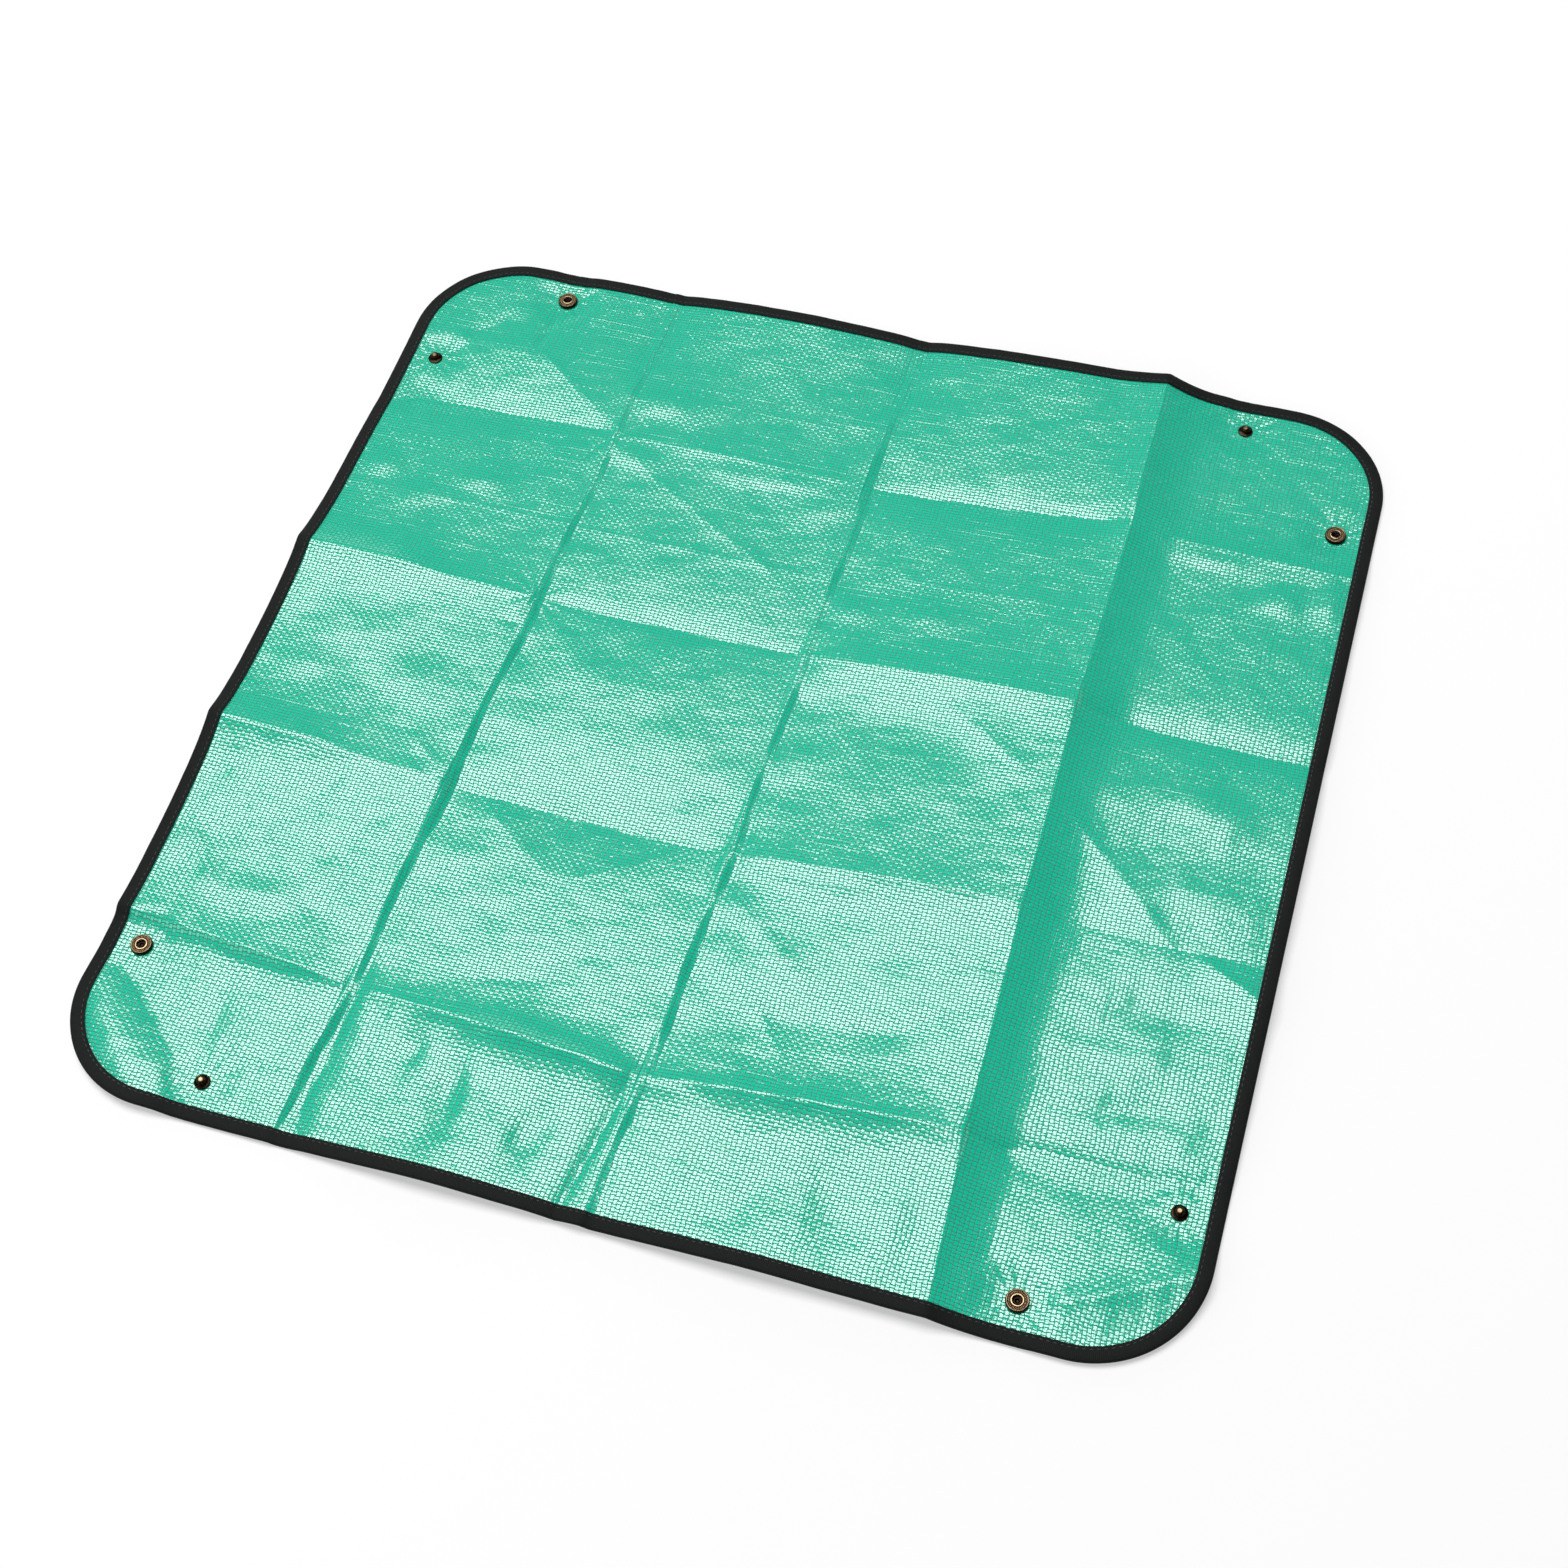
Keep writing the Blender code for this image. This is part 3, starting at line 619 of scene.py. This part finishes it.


# Green sheet, its finish
# Flat green polyethylene tapes about 2 mm wide, woven over and under and sealed with a clear coating.
# Each crossing is a small glossy cushion between dull grooves, whose darker green is painted
# shade, so a highlight breaks into a fine chequered grid. The weave, 2.15 by 1.80 mm in the photo,
# is drawn a quarter larger so that it shows.

weave_enlargement = 1.25
tape_pitches = (weave_enlargement * 2.15 * MM, weave_enlargement * 1.80 * MM)
tape_rise = 0.06 * MM
tape_wander, tape_wander_scale = 1.2, 0.10
groove_share = 0.35
groove_bounds = ((0.1, 0.75), (0.4, 1.05))
pressed_marks = ((0.012, 0.42, 0.05), (0.42, 0.012, 0.03), (0.14, 0.20, 0.07))
mark_bounds = (0.58, 0.72)
crinkle_size = 8 * MM
crinkle_stretch = 0.75
crinkle_rise = 0.10 * MM
crinkled_from, smooth_from = -20 * MM, 160 * MM
crinkle_strengths = (1.15, 0.5)
groove_shade_green = "#008666"
sheet_green = "#00D7B1"
sheet_roughness = 0.11
groove_roughness = 1.0

# Settings that several nodes share
add = {"operation": "ADD"}
multiply = {"operation": "MULTIPLY"}
multiply_add = {"operation": "MULTIPLY_ADD"}
smooth_step = {"interpolation_type": "SMOOTHSTEP"}
flat_noise = {"noise_dimensions": "2D"}
mix_colours = {"data_type": "RGBA"}


def linear_colour(code):
    """sRGB hex to linear red, green, blue and 1."""
    parts = [int(code[start:start + 2], 16) / 255 for start in (1, 3, 5)]
    return [c / 12.92 if c <= 0.04045 else ((c + 0.055) / 1.055) ** 2.4 for c in parts] + [1.0]


def set_inputs(material, node, **inputs):
    """Sets inputs of a node by name or number. A node or an output is linked to its input."""
    for name, value in inputs.items():
        key = int(name[1:]) if name[1:].isdigit() else name.replace("_", " ")
        if isinstance(value, bpy.types.Node):
            value = value.outputs[0]
        if isinstance(value, bpy.types.NodeSocket):
            material.node_tree.links.new(value, node.inputs[key])
        else:
            node.inputs[key].default_value = value


def add_node(material, kind, settings=None, **inputs):
    """Adds a shader node with its settings and its inputs."""
    node = material.node_tree.nodes.new("ShaderNode" + kind)
    for name, value in (settings or {}).items():
        setattr(node, name, value)
    set_inputs(material, node, **inputs)
    return node


def new_material(name):
    """An empty material with its output, and its Principled shader."""
    material = bpy.data.materials.new(name)
    material.use_nodes = True
    return material, material.node_tree.nodes["Principled BSDF"]


def make_green_sheet():
    """Coated polyethylene weave. At each crossing the tape on top bends over the other as
    |sin(pi u)| along its length, and a groove lies along both its sides, painted a darker green as
    painted shade. The tape on top changes from crossing to crossing. Fine pressed lines and dents lie
    on it, and crinkles tilt the whole weave, less on the back half than on the front half."""
    material, shader = new_material("coated_polyethylene_weave")
    plan = add_node(material, "UVMap", {"uv_map": "plan"})
    per_tape = (1 / tape_pitches[0], 1 / tape_pitches[1], 1)
    tapes = add_node(material, "Mapping", Vector=plan, Scale=per_tape)
    wander = add_node(material, "TexNoise", flat_noise, Vector=tapes, Scale=tape_wander_scale)
    bend = add_node(material, "Math", multiply_add, _0=wander, _1=tape_wander, _2=-tape_wander / 2)
    split = add_node(material, "SeparateXYZ", Vector=tapes)
    ridges, counts, grooves = [], [], []
    for across, (groove_start, groove_end) in zip(split.outputs, groove_bounds):
        place = add_node(material, "Math", add, _0=across, _1=bend)
        turn = add_node(material, "Math", multiply, _0=place, _1=math.pi)
        wave = add_node(material, "Math", {"operation": "SINE"}, _0=turn)
        ridge = add_node(material, "Math", {"operation": "ABSOLUTE"}, _0=wave)
        ridges.append(ridge)
        grooves.append(add_node(
            material, "MapRange", smooth_step, Value=ridge, _1=groove_start, _2=groove_end
        ))
        counts.append(add_node(material, "Math", {"operation": "FLOOR"}, _0=place))
    count = add_node(material, "Math", add, _0=counts[0], _1=counts[1])
    parity = add_node(material, "Math", {"operation": "PINGPONG"}, _0=count, _1=1.0)
    crown = add_node(material, "Mix", Factor=parity, _2=grooves[0], _3=grooves[1])
    bow = add_node(material, "Mix", Factor=parity, _2=ridges[1], _3=ridges[0])
    rise = add_node(material, "Math", multiply_add, _0=crown, _1=groove_share, _2=bow)
    for along, across, height in pressed_marks:
        scale = (along / MM, across / MM, 1)
        stretched = add_node(material, "Mapping", Vector=plan, Scale=scale)
        streaks = add_node(material, "TexNoise", flat_noise, Vector=stretched, Scale=1.0)
        line = add_node(
            material, "MapRange", smooth_step,
            Value=streaks, _1=mark_bounds[0], _2=mark_bounds[1],
        )
        rise = add_node(material, "Math", multiply_add, _0=line, _1=height * MM / tape_rise, _2=rise)

    per_crinkle = (crinkle_stretch / crinkle_size, 1 / crinkle_size, 1)
    crinkle_map = add_node(material, "Mapping", Vector=plan, Scale=per_crinkle)
    crinkles = add_node(
        material, "TexNoise", flat_noise,
        Vector=crinkle_map, Scale=1.0, Detail=2.5, Roughness=0.45,
    )
    places = add_node(material, "SeparateXYZ", Vector=plan)
    strength = add_node(
        material, "MapRange", smooth_step, Value=places.outputs[1],
        _1=crinkled_from, _2=smooth_from, _3=crinkle_strengths[0], _4=crinkle_strengths[1],
    )
    crumple = add_node(material, "Bump", Height=crinkles, Strength=strength, Distance=crinkle_rise)
    bump = add_node(material, "Bump", Height=rise, Strength=1.0, Distance=tape_rise, Normal=crumple)
    # Painted shade: the grooves get a darker green than the crowns
    colour = add_node(
        material, "Mix", mix_colours, Factor=crown,
        _6=linear_colour(groove_shade_green), _7=linear_colour(sheet_green),
    )
    gloss = add_node(
        material, "Math", multiply_add,
        _0=crown, _1=sheet_roughness - groove_roughness, _2=groove_roughness,
    )
    set_inputs(material, shader, Base_Color=colour.outputs[2], Roughness=gloss, Normal=bump)
    set_inputs(material, shader, IOR=1.6, Specular_IOR_Level=1.0)
    return material


green_sheet = make_green_sheet()

green_floor = sheet_panel("green_floor", *floor_plan())
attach(green_floor, "floor")
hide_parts("sheet_floor")

walls = {}
for wall, (across_x, across_y) in side_directions.items():
    panel = sheet_panel("green_wall_" + wall, *wall_plan(wall))
    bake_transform(panel)
    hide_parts("sheet_wall_" + wall)
    walls[wall] = panel


def bend_with_ear(piece):
    """Bakes the piece's place into its mesh."""
    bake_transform(piece)


ears = {}
for ear in sorted(list(socket_places) + list(stud_places)):
    panel = sheet_panel("green_ear_" + ear, *ear_plan(*ear.split("_")))
    bend_with_ear(panel)
    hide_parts("sheet_ear_" + ear)
    ears[ear] = panel


# Binding
# A black woven tape 9 mm wide, folded over the sheet's edge and sewn through near its inner edge. It
# stands a little round along the fold, and its ribs run across it.

tape_flat_steps = 7
tape_fold_steps = 8
binding_step = 2.5 * MM
rib_pitch = 1.0 * MM
rib_rise = 0.12 * MM
fine_pitch_share, fine_rise_share = 0.7, 0.4
fuzz_share = 0.8
raised_share = 0.45
tape_black = "#060908"
tape_raised_black = "#151A18"
tape_roughness = 0.55


def tape_line():
    """The folded tape's middle line, as insets from the outline and heights over the sheet: a flap
    with a low crown, a half circle round the edge, and the same flap below."""
    level = sheet_thickness / 2 + tape_gap + tape_thickness / 2
    fold_inset = level + tape_thickness / 2
    share = np.linspace(0, 1, tape_flat_steps)
    flap_inset = binding_width + (fold_inset - binding_width) * share
    flap_height = level + tape_crown * np.sin(math.pi * share) ** 0.8
    angle = np.linspace(0, math.pi, tape_fold_steps + 2)[1:-1]
    insets = np.concatenate([flap_inset, fold_inset - level * np.sin(angle), flap_inset[::-1]])
    heights = np.concatenate([flap_height, level * np.cos(angle), -flap_height[::-1]])
    return insets, heights


def tape_outline():
    """The closed outline of the tape's section: half its thickness to each side of its middle line."""
    insets, heights = tape_line()
    run, climb = np.gradient(insets), np.gradient(heights)
    length = np.hypot(run, climb)
    side_inset, side_height = -climb / length * tape_thickness / 2, run / length * tape_thickness / 2
    outline_insets = np.concatenate([insets + side_inset, (insets - side_inset)[::-1]])
    outline_heights = np.concatenate([heights + side_height, (heights - side_height)[::-1]])
    return outline_insets, outline_heights


def tape_top(inset):
    """Height of the tape's upper face over the sheet's middle, at an inset."""
    insets, heights = tape_line()
    return np.interp(-inset, -insets[:tape_flat_steps], heights[:tape_flat_steps]) + tape_thickness / 2


def wall_edge(side, inset):
    """A path along a wall's edge at a distance in from the outline: plan places, one row an inset."""
    across_x, across_y = side_directions[side]
    along = np.linspace(-fold_at, fold_at, round(2 * fold_at / binding_step) + 1)
    along = np.broadcast_to(along, (inset.shape[0], along.size))
    outward = half_side - inset + 0 * along
    return (across_x * outward, along) if across_x else (along, across_y * outward)


def ear_edge(wall, corner, inset):
    """The same path along an ear's edge, from its wall up to the diagonal."""
    return ear_to_mat(wall, corner, *ear_rim(inset))


def make_binding_tape():
    """Woven polypropylene tape: its ribs are |sin(pi u / pitch)|, broken up by finer threads."""
    material, shader = new_material("woven_polypropylene_tape")
    plan = add_node(material, "UVMap", {"uv_map": "plan"})
    split = add_node(material, "SeparateXYZ", Vector=plan)
    ridges = []
    for across, pitch in zip(split.outputs, (rib_pitch, fine_pitch_share * rib_pitch)):
        turn = add_node(material, "Math", multiply, _0=across, _1=math.pi / pitch)
        wave = add_node(material, "Math", {"operation": "SINE"}, _0=turn)
        ridges.append(add_node(material, "Math", {"operation": "ABSOLUTE"}, _0=wave))
    woven = add_node(material, "Math", multiply_add, _0=ridges[1], _1=fine_rise_share, _2=ridges[0])
    fuzz = add_node(material, "TexNoise", Vector=plan, Scale=0.4 / rib_pitch, Detail=4.0)
    height = add_node(material, "Math", multiply_add, _0=fuzz, _1=fuzz_share, _2=woven)
    bump = add_node(material, "Bump", Height=height, Strength=0.8, Distance=rib_rise)
    # The tape's colour is drawn lighter where its ribs and fuzz rise
    share = add_node(material, "Math", multiply, _0=height, _1=raised_share)
    colour = add_node(
        material, "Mix", mix_colours, Factor=share,
        _6=linear_colour(tape_black), _7=linear_colour(tape_raised_black),
    )
    set_inputs(material, shader, Base_Color=colour.outputs[2], Roughness=tape_roughness, Normal=bump)
    set_inputs(material, shader, IOR=1.45, Specular_IOR_Level=0.15)
    return material


def binding_length(name, edge, *where):
    """A length of the binding: the tape's closed section carried along an edge, with both ends shut.
    Its UV map is metres along the edge and round the section."""
    insets, heights = tape_outline()
    insets = np.append(insets, insets[0])
    heights = np.append(heights, heights[0])
    x, y = edge(*where, insets[:, None])
    places = np.stack([x, y, sheet_height(x, y) + heights[:, None]], axis=-1)
    along = np.cumsum(np.hypot(np.diff(x[0], prepend=x[0, 0]), np.diff(y[0], prepend=y[0, 0])))
    inset_runs, height_runs = np.diff(insets, prepend=insets[0]), np.diff(heights, prepend=heights[0])
    round_section = np.cumsum(np.hypot(inset_runs, height_runs))
    plan = np.stack(np.broadcast_arrays(along[None, :], round_section[:, None]), axis=-1)
    rows, columns = x.shape
    faces = grid_faces(rows, columns).tolist()
    first = np.arange(rows - 1) * columns
    ends = [first.tolist(), (first + columns - 1).tolist()[::-1]]
    tape = mesh_object(name, places, faces + ends, plan)
    tape.data.materials.append(binding_tape)
    return tape


binding_tape = make_binding_tape()

for wall in walls:
    tape = binding_length("black_binding_" + wall, wall_edge, wall)
    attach(tape, "wall_" + wall)
    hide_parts("binding_" + wall)

for ear in ears:
    tape = binding_length("black_binding_ear_" + ear, ear_edge, *ear.split("_"))
    bend_with_ear(tape)
    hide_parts("binding_ear_" + ear)


# Stitching
# One row of black polyester lockstitch runs right round the binding, through tape, sheet and tape,
# 1.8 mm from the tape's inner edge. Each stitch is a short raised stroke that dips in at both ends.

stitch_length = 2.6 * MM
stitch_gap = 1.2 * MM
stitch_radius = 0.22 * MM
stitch_inset = binding_width - 1.8 * MM
stitch_stations = 6
stitch_ring = 6
strand_pitch = 0.3 * MM
strand_rise = 0.05 * MM
thread_black = "#1C2022"


def stitches(name, edge, *where):
    """Stitches on both faces of the binding: each is a tube whose middle line rises as
    sqrt(sin(pi s)) out of the tape, at equal steps along the edge."""
    path_x, path_y = (line[0] for line in edge(*where, np.array([[stitch_inset]])))
    gone = np.cumsum(np.hypot(np.diff(path_x, prepend=path_x[0]), np.diff(path_y, prepend=path_y[0])))
    count = int(gone[-1] / (stitch_length + stitch_gap))
    pitch = gone[-1] / count
    share = np.linspace(0, 1, stitch_stations)
    at = (np.arange(count)[:, None] + 0.5) * pitch + (share - 0.5) * stitch_length
    x, y = np.interp(at, gone, path_x), np.interp(at, gone, path_y)
    run_x, run_y = x[:, -1:] - x[:, :1], y[:, -1:] - y[:, :1]
    run = np.hypot(run_x, run_y)
    swell = np.sqrt(np.clip(np.sin(math.pi * share), 0, 1))
    rise = tape_top(stitch_inset) + stitch_radius * (swell - 0.8)
    thick = stitch_radius * (0.45 + 0.55 * swell)
    angle = np.arange(stitch_ring) * math.tau / stitch_ring
    ground = sheet_height(x, y)
    solids = []
    for face in (1, -1):
        side = (thick[:, None] * np.cos(angle))[None]
        up = (rise[:, None] + thick[:, None] * np.sin(angle))[None]
        place_x = x[..., None] + side * (-run_y / run)[..., None]
        place_y = y[..., None] + side * (run_x / run)[..., None]
        place_z = ground[..., None] + face * up
        solids.append(np.stack([place_x, place_y, place_z], axis=-1))
    places = np.concatenate(solids)
    one = grid_faces(stitch_stations, stitch_ring + 1)
    one = (one // (stitch_ring + 1)) * stitch_ring + (one % (stitch_ring + 1)) % stitch_ring
    starts = np.arange(len(places)) * stitch_stations * stitch_ring
    tubes = (starts[:, None, None] + one).reshape(-1, 4).tolist()
    near = (starts[:, None] + np.arange(stitch_ring)[::-1]).tolist()
    far = (starts[:, None] + (stitch_stations - 1) * stitch_ring + np.arange(stitch_ring)).tolist()
    thread = mesh_object(name, places, tubes + near + far, places.reshape(-1, 3)[:, :2])
    thread.data.materials.append(polyester_thread)
    return thread


def make_polyester_thread():
    """Twisted polyester thread: slanting strands and a soft sheen. Wave bands are 1 / (20 scale) apart."""
    material, shader = new_material("twisted_polyester_thread")
    place = add_node(material, "TexCoord").outputs["Object"]
    slanting = {"bands_direction": "DIAGONAL"}
    twist = add_node(material, "TexWave", slanting, Vector=place, Scale=1 / (20 * strand_pitch))
    bump = add_node(material, "Bump", Height=twist.outputs[1], Strength=0.5, Distance=strand_rise)
    set_inputs(material, shader, Base_Color=linear_colour(thread_black), Roughness=0.5, Normal=bump)
    set_inputs(material, shader, Sheen_Weight=0.3)
    return material


polyester_thread = make_polyester_thread()

for wall in walls:
    thread = stitches("stitching_" + wall, wall_edge, wall)
    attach(thread, "wall_" + wall)

for ear in ears:
    thread = stitches("stitching_ear_" + ear, ear_edge, *ear.split("_"))
    bend_with_ear(thread)


# Snap sockets
# The female half of each press snap: a pressed ring of antique brass with a beaded band round its
# mouth, a split spring wire inside, and a cap whose hollow post comes up through the sheet.

snap_top = snap_sheet_height + sheet_thickness / 2 + touch_gap
turned_steps = 192
bead_count = 32
bead_height = 0.28
bead_wear = 0.6
stain_size = 1.5 * MM
grain_size = 0.25 * MM
grain_rise = 0.04 * MM
brass_dark = "#1E1611"
brass_brown = "#5C4832"
brass_gold = "#CDB892"
brown_wear = 0.45
wire_streak_size = 0.6 * MM
wire_grey = "#B9B9B4"


def rounded(points, times=2):
    """Cuts each corner of a closed outline at a quarter and three quarters of its sides."""
    for _ in range(times):
        after = np.roll(points, -1, axis=0)
        cut = np.stack([0.75 * points + 0.25 * after, 0.25 * points + 0.75 * after], axis=1)
        points = cut.reshape(-1, points.shape[1])
    return points


def turned(name, node, ear, profile):
    """A closed profile turned round the middle of the CAD node that it replaces. Each point is
    radius, height over the sheet, wear share and, where it isn't zero, bead, in mm: wear share 1 is
    rubbed bright. The same share also carries painted light: a painted highlight on the studs' tops and
    painted shade in the caps' bores. Where bead is 1 the ring rises and falls as cos(beads * angle)."""
    place_x, place_y = snap_place(node)
    points = rounded(np.array([(*point, 0)[:4] for point in profile]))
    radius, height, wear_and_painted_light, bead = (column[:, None] for column in np.concatenate([points, points[:1]]).T)
    angle = np.linspace(0, math.tau, turned_steps + 1)[None, :]
    beads = bead * (0.5 + 0.5 * np.cos(bead_count * angle))
    across = radius * MM
    up = snap_top + (height + beads * bead_height) * MM
    places = np.stack([place_x + across * np.cos(angle), place_y + across * np.sin(angle), up], axis=-1)
    shares = np.linspace(0, 1, len(points) + 1)[:, None]
    plan = np.stack(np.broadcast_arrays(angle / math.tau, shares), axis=-1)
    faces = grid_faces(len(points) + 1, turned_steps + 1).tolist()
    piece = mesh_object(name, places, faces, plan, wear_and_painted_light + bead_wear * beads)
    piece.data.materials.append(antique_brass)
    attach(piece, "ear_" + ear)
    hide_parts(node)


def make_antique_brass():
    """Brass plated, darkened and rubbed back: brown in the hollows and gold where it is worn, with
    small stains about 1.5 mm across. The wear share also carries painted light: a painted highlight on
    the studs' tops and painted shade in the caps' bores."""
    material, shader = new_material("antique_brass")
    # The wear share is real wear plus a painted highlight and painted shade, and it picks the colour
    wear_and_painted_light = add_node(material, "Attribute", {"attribute_name": "wear_and_painted_light"}).outputs["Fac"]
    place = add_node(material, "TexCoord").outputs["Object"]
    stains = add_node(material, "TexNoise", Vector=place, Scale=1 / stain_size, Detail=4.0)
    grain = add_node(material, "TexNoise", Vector=place, Scale=1 / grain_size, Detail=2.0)
    less = add_node(material, "Math", {"operation": "SUBTRACT"}, _0=wear_and_painted_light, _1=0.25)
    rubbed_and_painted_light = add_node(material, "Math", multiply_add, _0=stains, _1=0.5, _2=less)
    colour = add_node(material, "ValToRGB", Fac=rubbed_and_painted_light)
    ramp = colour.color_ramp.elements
    ramp[0].color = linear_colour(brass_dark)
    ramp[1].color = linear_colour(brass_gold)
    ramp.new(brown_wear).color = linear_colour(brass_brown)
    gloss = add_node(material, "Math", multiply_add, _0=stains, _1=0.25, _2=0.18)
    bump = add_node(material, "Bump", Height=grain, Strength=0.35, Distance=grain_rise)
    set_inputs(material, shader, Base_Color=colour, Metallic=1.0, Roughness=gloss, Normal=bump)
    return material


def make_spring_wire():
    """Drawn spring steel wire: bright, with faint streaks along it."""
    material, shader = new_material("drawn_spring_wire")
    place = add_node(material, "TexCoord").outputs["Object"]
    streaks = add_node(material, "TexNoise", Vector=place, Scale=1 / wire_streak_size)
    gloss = add_node(material, "Math", multiply_add, _0=streaks, _1=0.2, _2=0.2)
    set_inputs(material, shader, Base_Color=linear_colour(wire_grey), Metallic=1.0, Roughness=gloss)
    return material


antique_brass = make_antique_brass()
spring_wire = make_spring_wire()

socket_profile = (
    (2.0, 0.0, 0.0), (6.3, 0.0, 0.0), (6.8, 0.2, -0.1), (6.8, 1.3, -0.1), (6.6, 2.1, 0.0),
    (6.1, 2.5, 0.6), (5.7, 2.45, 0.6), (5.5, 2.2, 0.2), (5.1, 2.1, 0.15, 0.6), (4.7, 2.1, 0.15, 1),
    (4.3, 2.1, 0.15, 0.6), (4.0, 2.2, 0.2), (3.8, 2.5, 0.7), (3.3, 2.6, 0.75), (2.85, 2.5, 0.5),
    (2.75, 2.1, 0.0), (2.9, 1.75, 0.0), (5.0, 1.7, 0.0), (6.1, 1.5, 0.0), (6.2, 0.6, 0.0),
    (2.0, 0.6, 0.0),
)
# The rolled end and the bore inside it get a wear share below zero, painted shade that darkens the hole
cap_profile = (
    (0.0, -2.0, 0.2), (0.3, -2.0, 0.2), (5.9, -2.0, 0.2), (6.3, -1.7, 0.3), (6.2, -1.2, 0.2),
    (5.5, -1.1, 0.1), (1.7, -1.1, 0.1), (1.7, 0.6, 0.1), (2.2, 0.65, -0.1), (2.3, 0.9, -0.1),
    (1.9, 1.05, 0.0), (1.4, 1.0, -0.1), (1.1, 0.8, -0.2), (1.05, 0.1, -0.2), (0.3, 0.05, -0.2),
    (0.0, 0.05, -0.2),
)

for ear in socket_places:
    turned("socket_ring_" + ear, "snap_socket_" + ear, ear, socket_profile)
    turned("socket_cap_" + ear, "snap_cap_" + ear, ear, cap_profile)
    spring = frame["nodes"]["snap_spring_" + ear].data
    spring.materials.clear()
    spring.materials.append(spring_wire)


# Snap studs
# The male half: a darkened brass plate that rises in one sweep to a neck and a ball, riveted by a
# hollow post from a round flange under the sheet. The post's rolled end rounds off the ball.

stud_profile = (
    (2.0, 0.0, 0.0), (4.5, 0.0, 0.0), (4.9, 0.1, 0.0), (4.9, 0.5, 0.3), (4.6, 0.8, 0.3),
    (4.0, 1.0, 0.0), (3.1, 1.3, 0.0), (2.5, 1.8, 0.0), (2.45, 2.2, 0.0), (2.75, 2.7, 0.1),
    (2.75, 3.1, 0.1), (2.4, 3.6, 0.1), (2.0, 3.6, 0.0),
)
# The rolled end's top gets a wear share of 0.6 to 0.7, a painted highlight
post_profile = (
    (0.0, -2.0, 0.2), (4.6, -2.0, 0.2), (5.0, -1.7, 0.3), (4.9, -1.2, 0.2), (4.2, -1.1, 0.1),
    (1.7, -1.1, 0.1), (1.7, 3.5, 0.1), (2.2, 3.7, 0.1), (2.25, 3.9, 0.1), (1.7, 4.25, 0.2),
    (0.9, 4.35, 0.6), (0.5, 4.35, 0.7), (0.0, 4.3, 0.6),
)

for ear in stud_places:
    turned("stud_" + ear, "snap_stud_" + ear, ear, stud_profile)
    turned("stud_post_" + ear, "snap_post_" + ear, ear, post_profile)


# Studio
# A white floor that keeps the mat's shadow, a large soft lamp high over the back left corner, which
# shows in the coated sheet as broad highlights, and a pale horizon that fades to a dim ceiling.

lamp_radiance = 6.7
lamp_width, lamp_depth = 6.9, 5.4
lamp_place = (-2.55, 2.2, 8.0)
fill_radiance = 1.2
fill_place = (-2.6, -2.8, 2.0)
fill_size = 2.4
floor_white = "#C4C4C4"
floor_glow = 0.46
room_grey = "#303030"
white = "#FFFFFF"
fade_from, fade_to = 0.2, 0.45
camera_turn = (32.2854, 3.0615, 16.951)
camera_place = (0.3167, -0.7640, 1.2428)
camera_lens = 54.83

floor_size = 20.0
floor_places = np.array([[-1, -1, 0], [1, -1, 0], [1, 1, 0], [-1, 1, 0]]) * floor_size
floor = mesh_object("studio_floor", floor_places, [[0, 1, 2, 3]], floor_places[:, :2])
paper, paper_shader = new_material("white_paper_floor")
rays = add_node(paper, "LightPath")
seen = rays.outputs["Is Camera Ray"]
for ray in ("Is Glossy Ray", "Is Transmission Ray"):
    seen = add_node(paper, "Math", add, _0=seen, _1=rays.outputs[ray])
glow = add_node(paper, "Math", multiply, _0=seen, _1=floor_glow)
set_inputs(paper, paper_shader, Base_Color=linear_colour(floor_white), Roughness=1.0)
set_inputs(paper, paper_shader, Emission_Color=linear_colour(white), Emission_Strength=glow)
set_inputs(paper, paper_shader, Specular_IOR_Level=0.0)
floor.data.materials.append(paper)

world = bpy.data.worlds.new("studio_room")
bpy.context.scene.world = world
world.use_nodes = True
direction = add_node(world, "TexCoord").outputs["Generated"]
up = add_node(world, "SeparateXYZ", Vector=direction).outputs[2]
fade = add_node(world, "MapRange", smooth_step, Value=up, _1=fade_from, _2=fade_to)
pale, dim = linear_colour(white), linear_colour(room_grey)
room = add_node(world, "Mix", mix_colours, Factor=fade, _6=pale, _7=dim)
background = world.node_tree.nodes["Background"]
set_inputs(world, background, Color=room.outputs[2])


def soft_lamp(name, place, aim, width, depth, radiance):
    """A rectangular area lamp of the given radiance, turned to face a point."""
    lamp = bpy.data.lights.new(name, "AREA")
    lamp.shape = "RECTANGLE"
    lamp.size, lamp.size_y = width, depth
    lamp.energy = radiance * math.pi * width * depth
    lamp_object = bpy.data.objects.new(name, lamp)
    lamp_object.location = place
    lamp_object.rotation_euler = (Vector(place) - Vector(aim)).to_track_quat("Z", "Y").to_euler()
    bpy.context.scene.collection.objects.link(lamp_object)


below_lamp = (lamp_place[0], lamp_place[1], 0)
soft_lamp("soft_lamp", lamp_place, below_lamp, lamp_width, lamp_depth, lamp_radiance)
soft_lamp("fill_lamp", fill_place, (0, 0, 0), fill_size, fill_size, fill_radiance)

camera = bpy.data.cameras.new("camera")
camera.lens = camera_lens
camera.sensor_width = 36
camera_object = bpy.data.objects.new("camera", camera)
turn = Euler([math.radians(angle) for angle in camera_turn])
camera_object.matrix_world = Matrix.LocRotScale(Vector(camera_place), turn, None)
bpy.context.scene.collection.objects.link(camera_object)
bpy.context.scene.camera = camera_object
bpy.context.scene.view_settings.view_transform = "Standard"
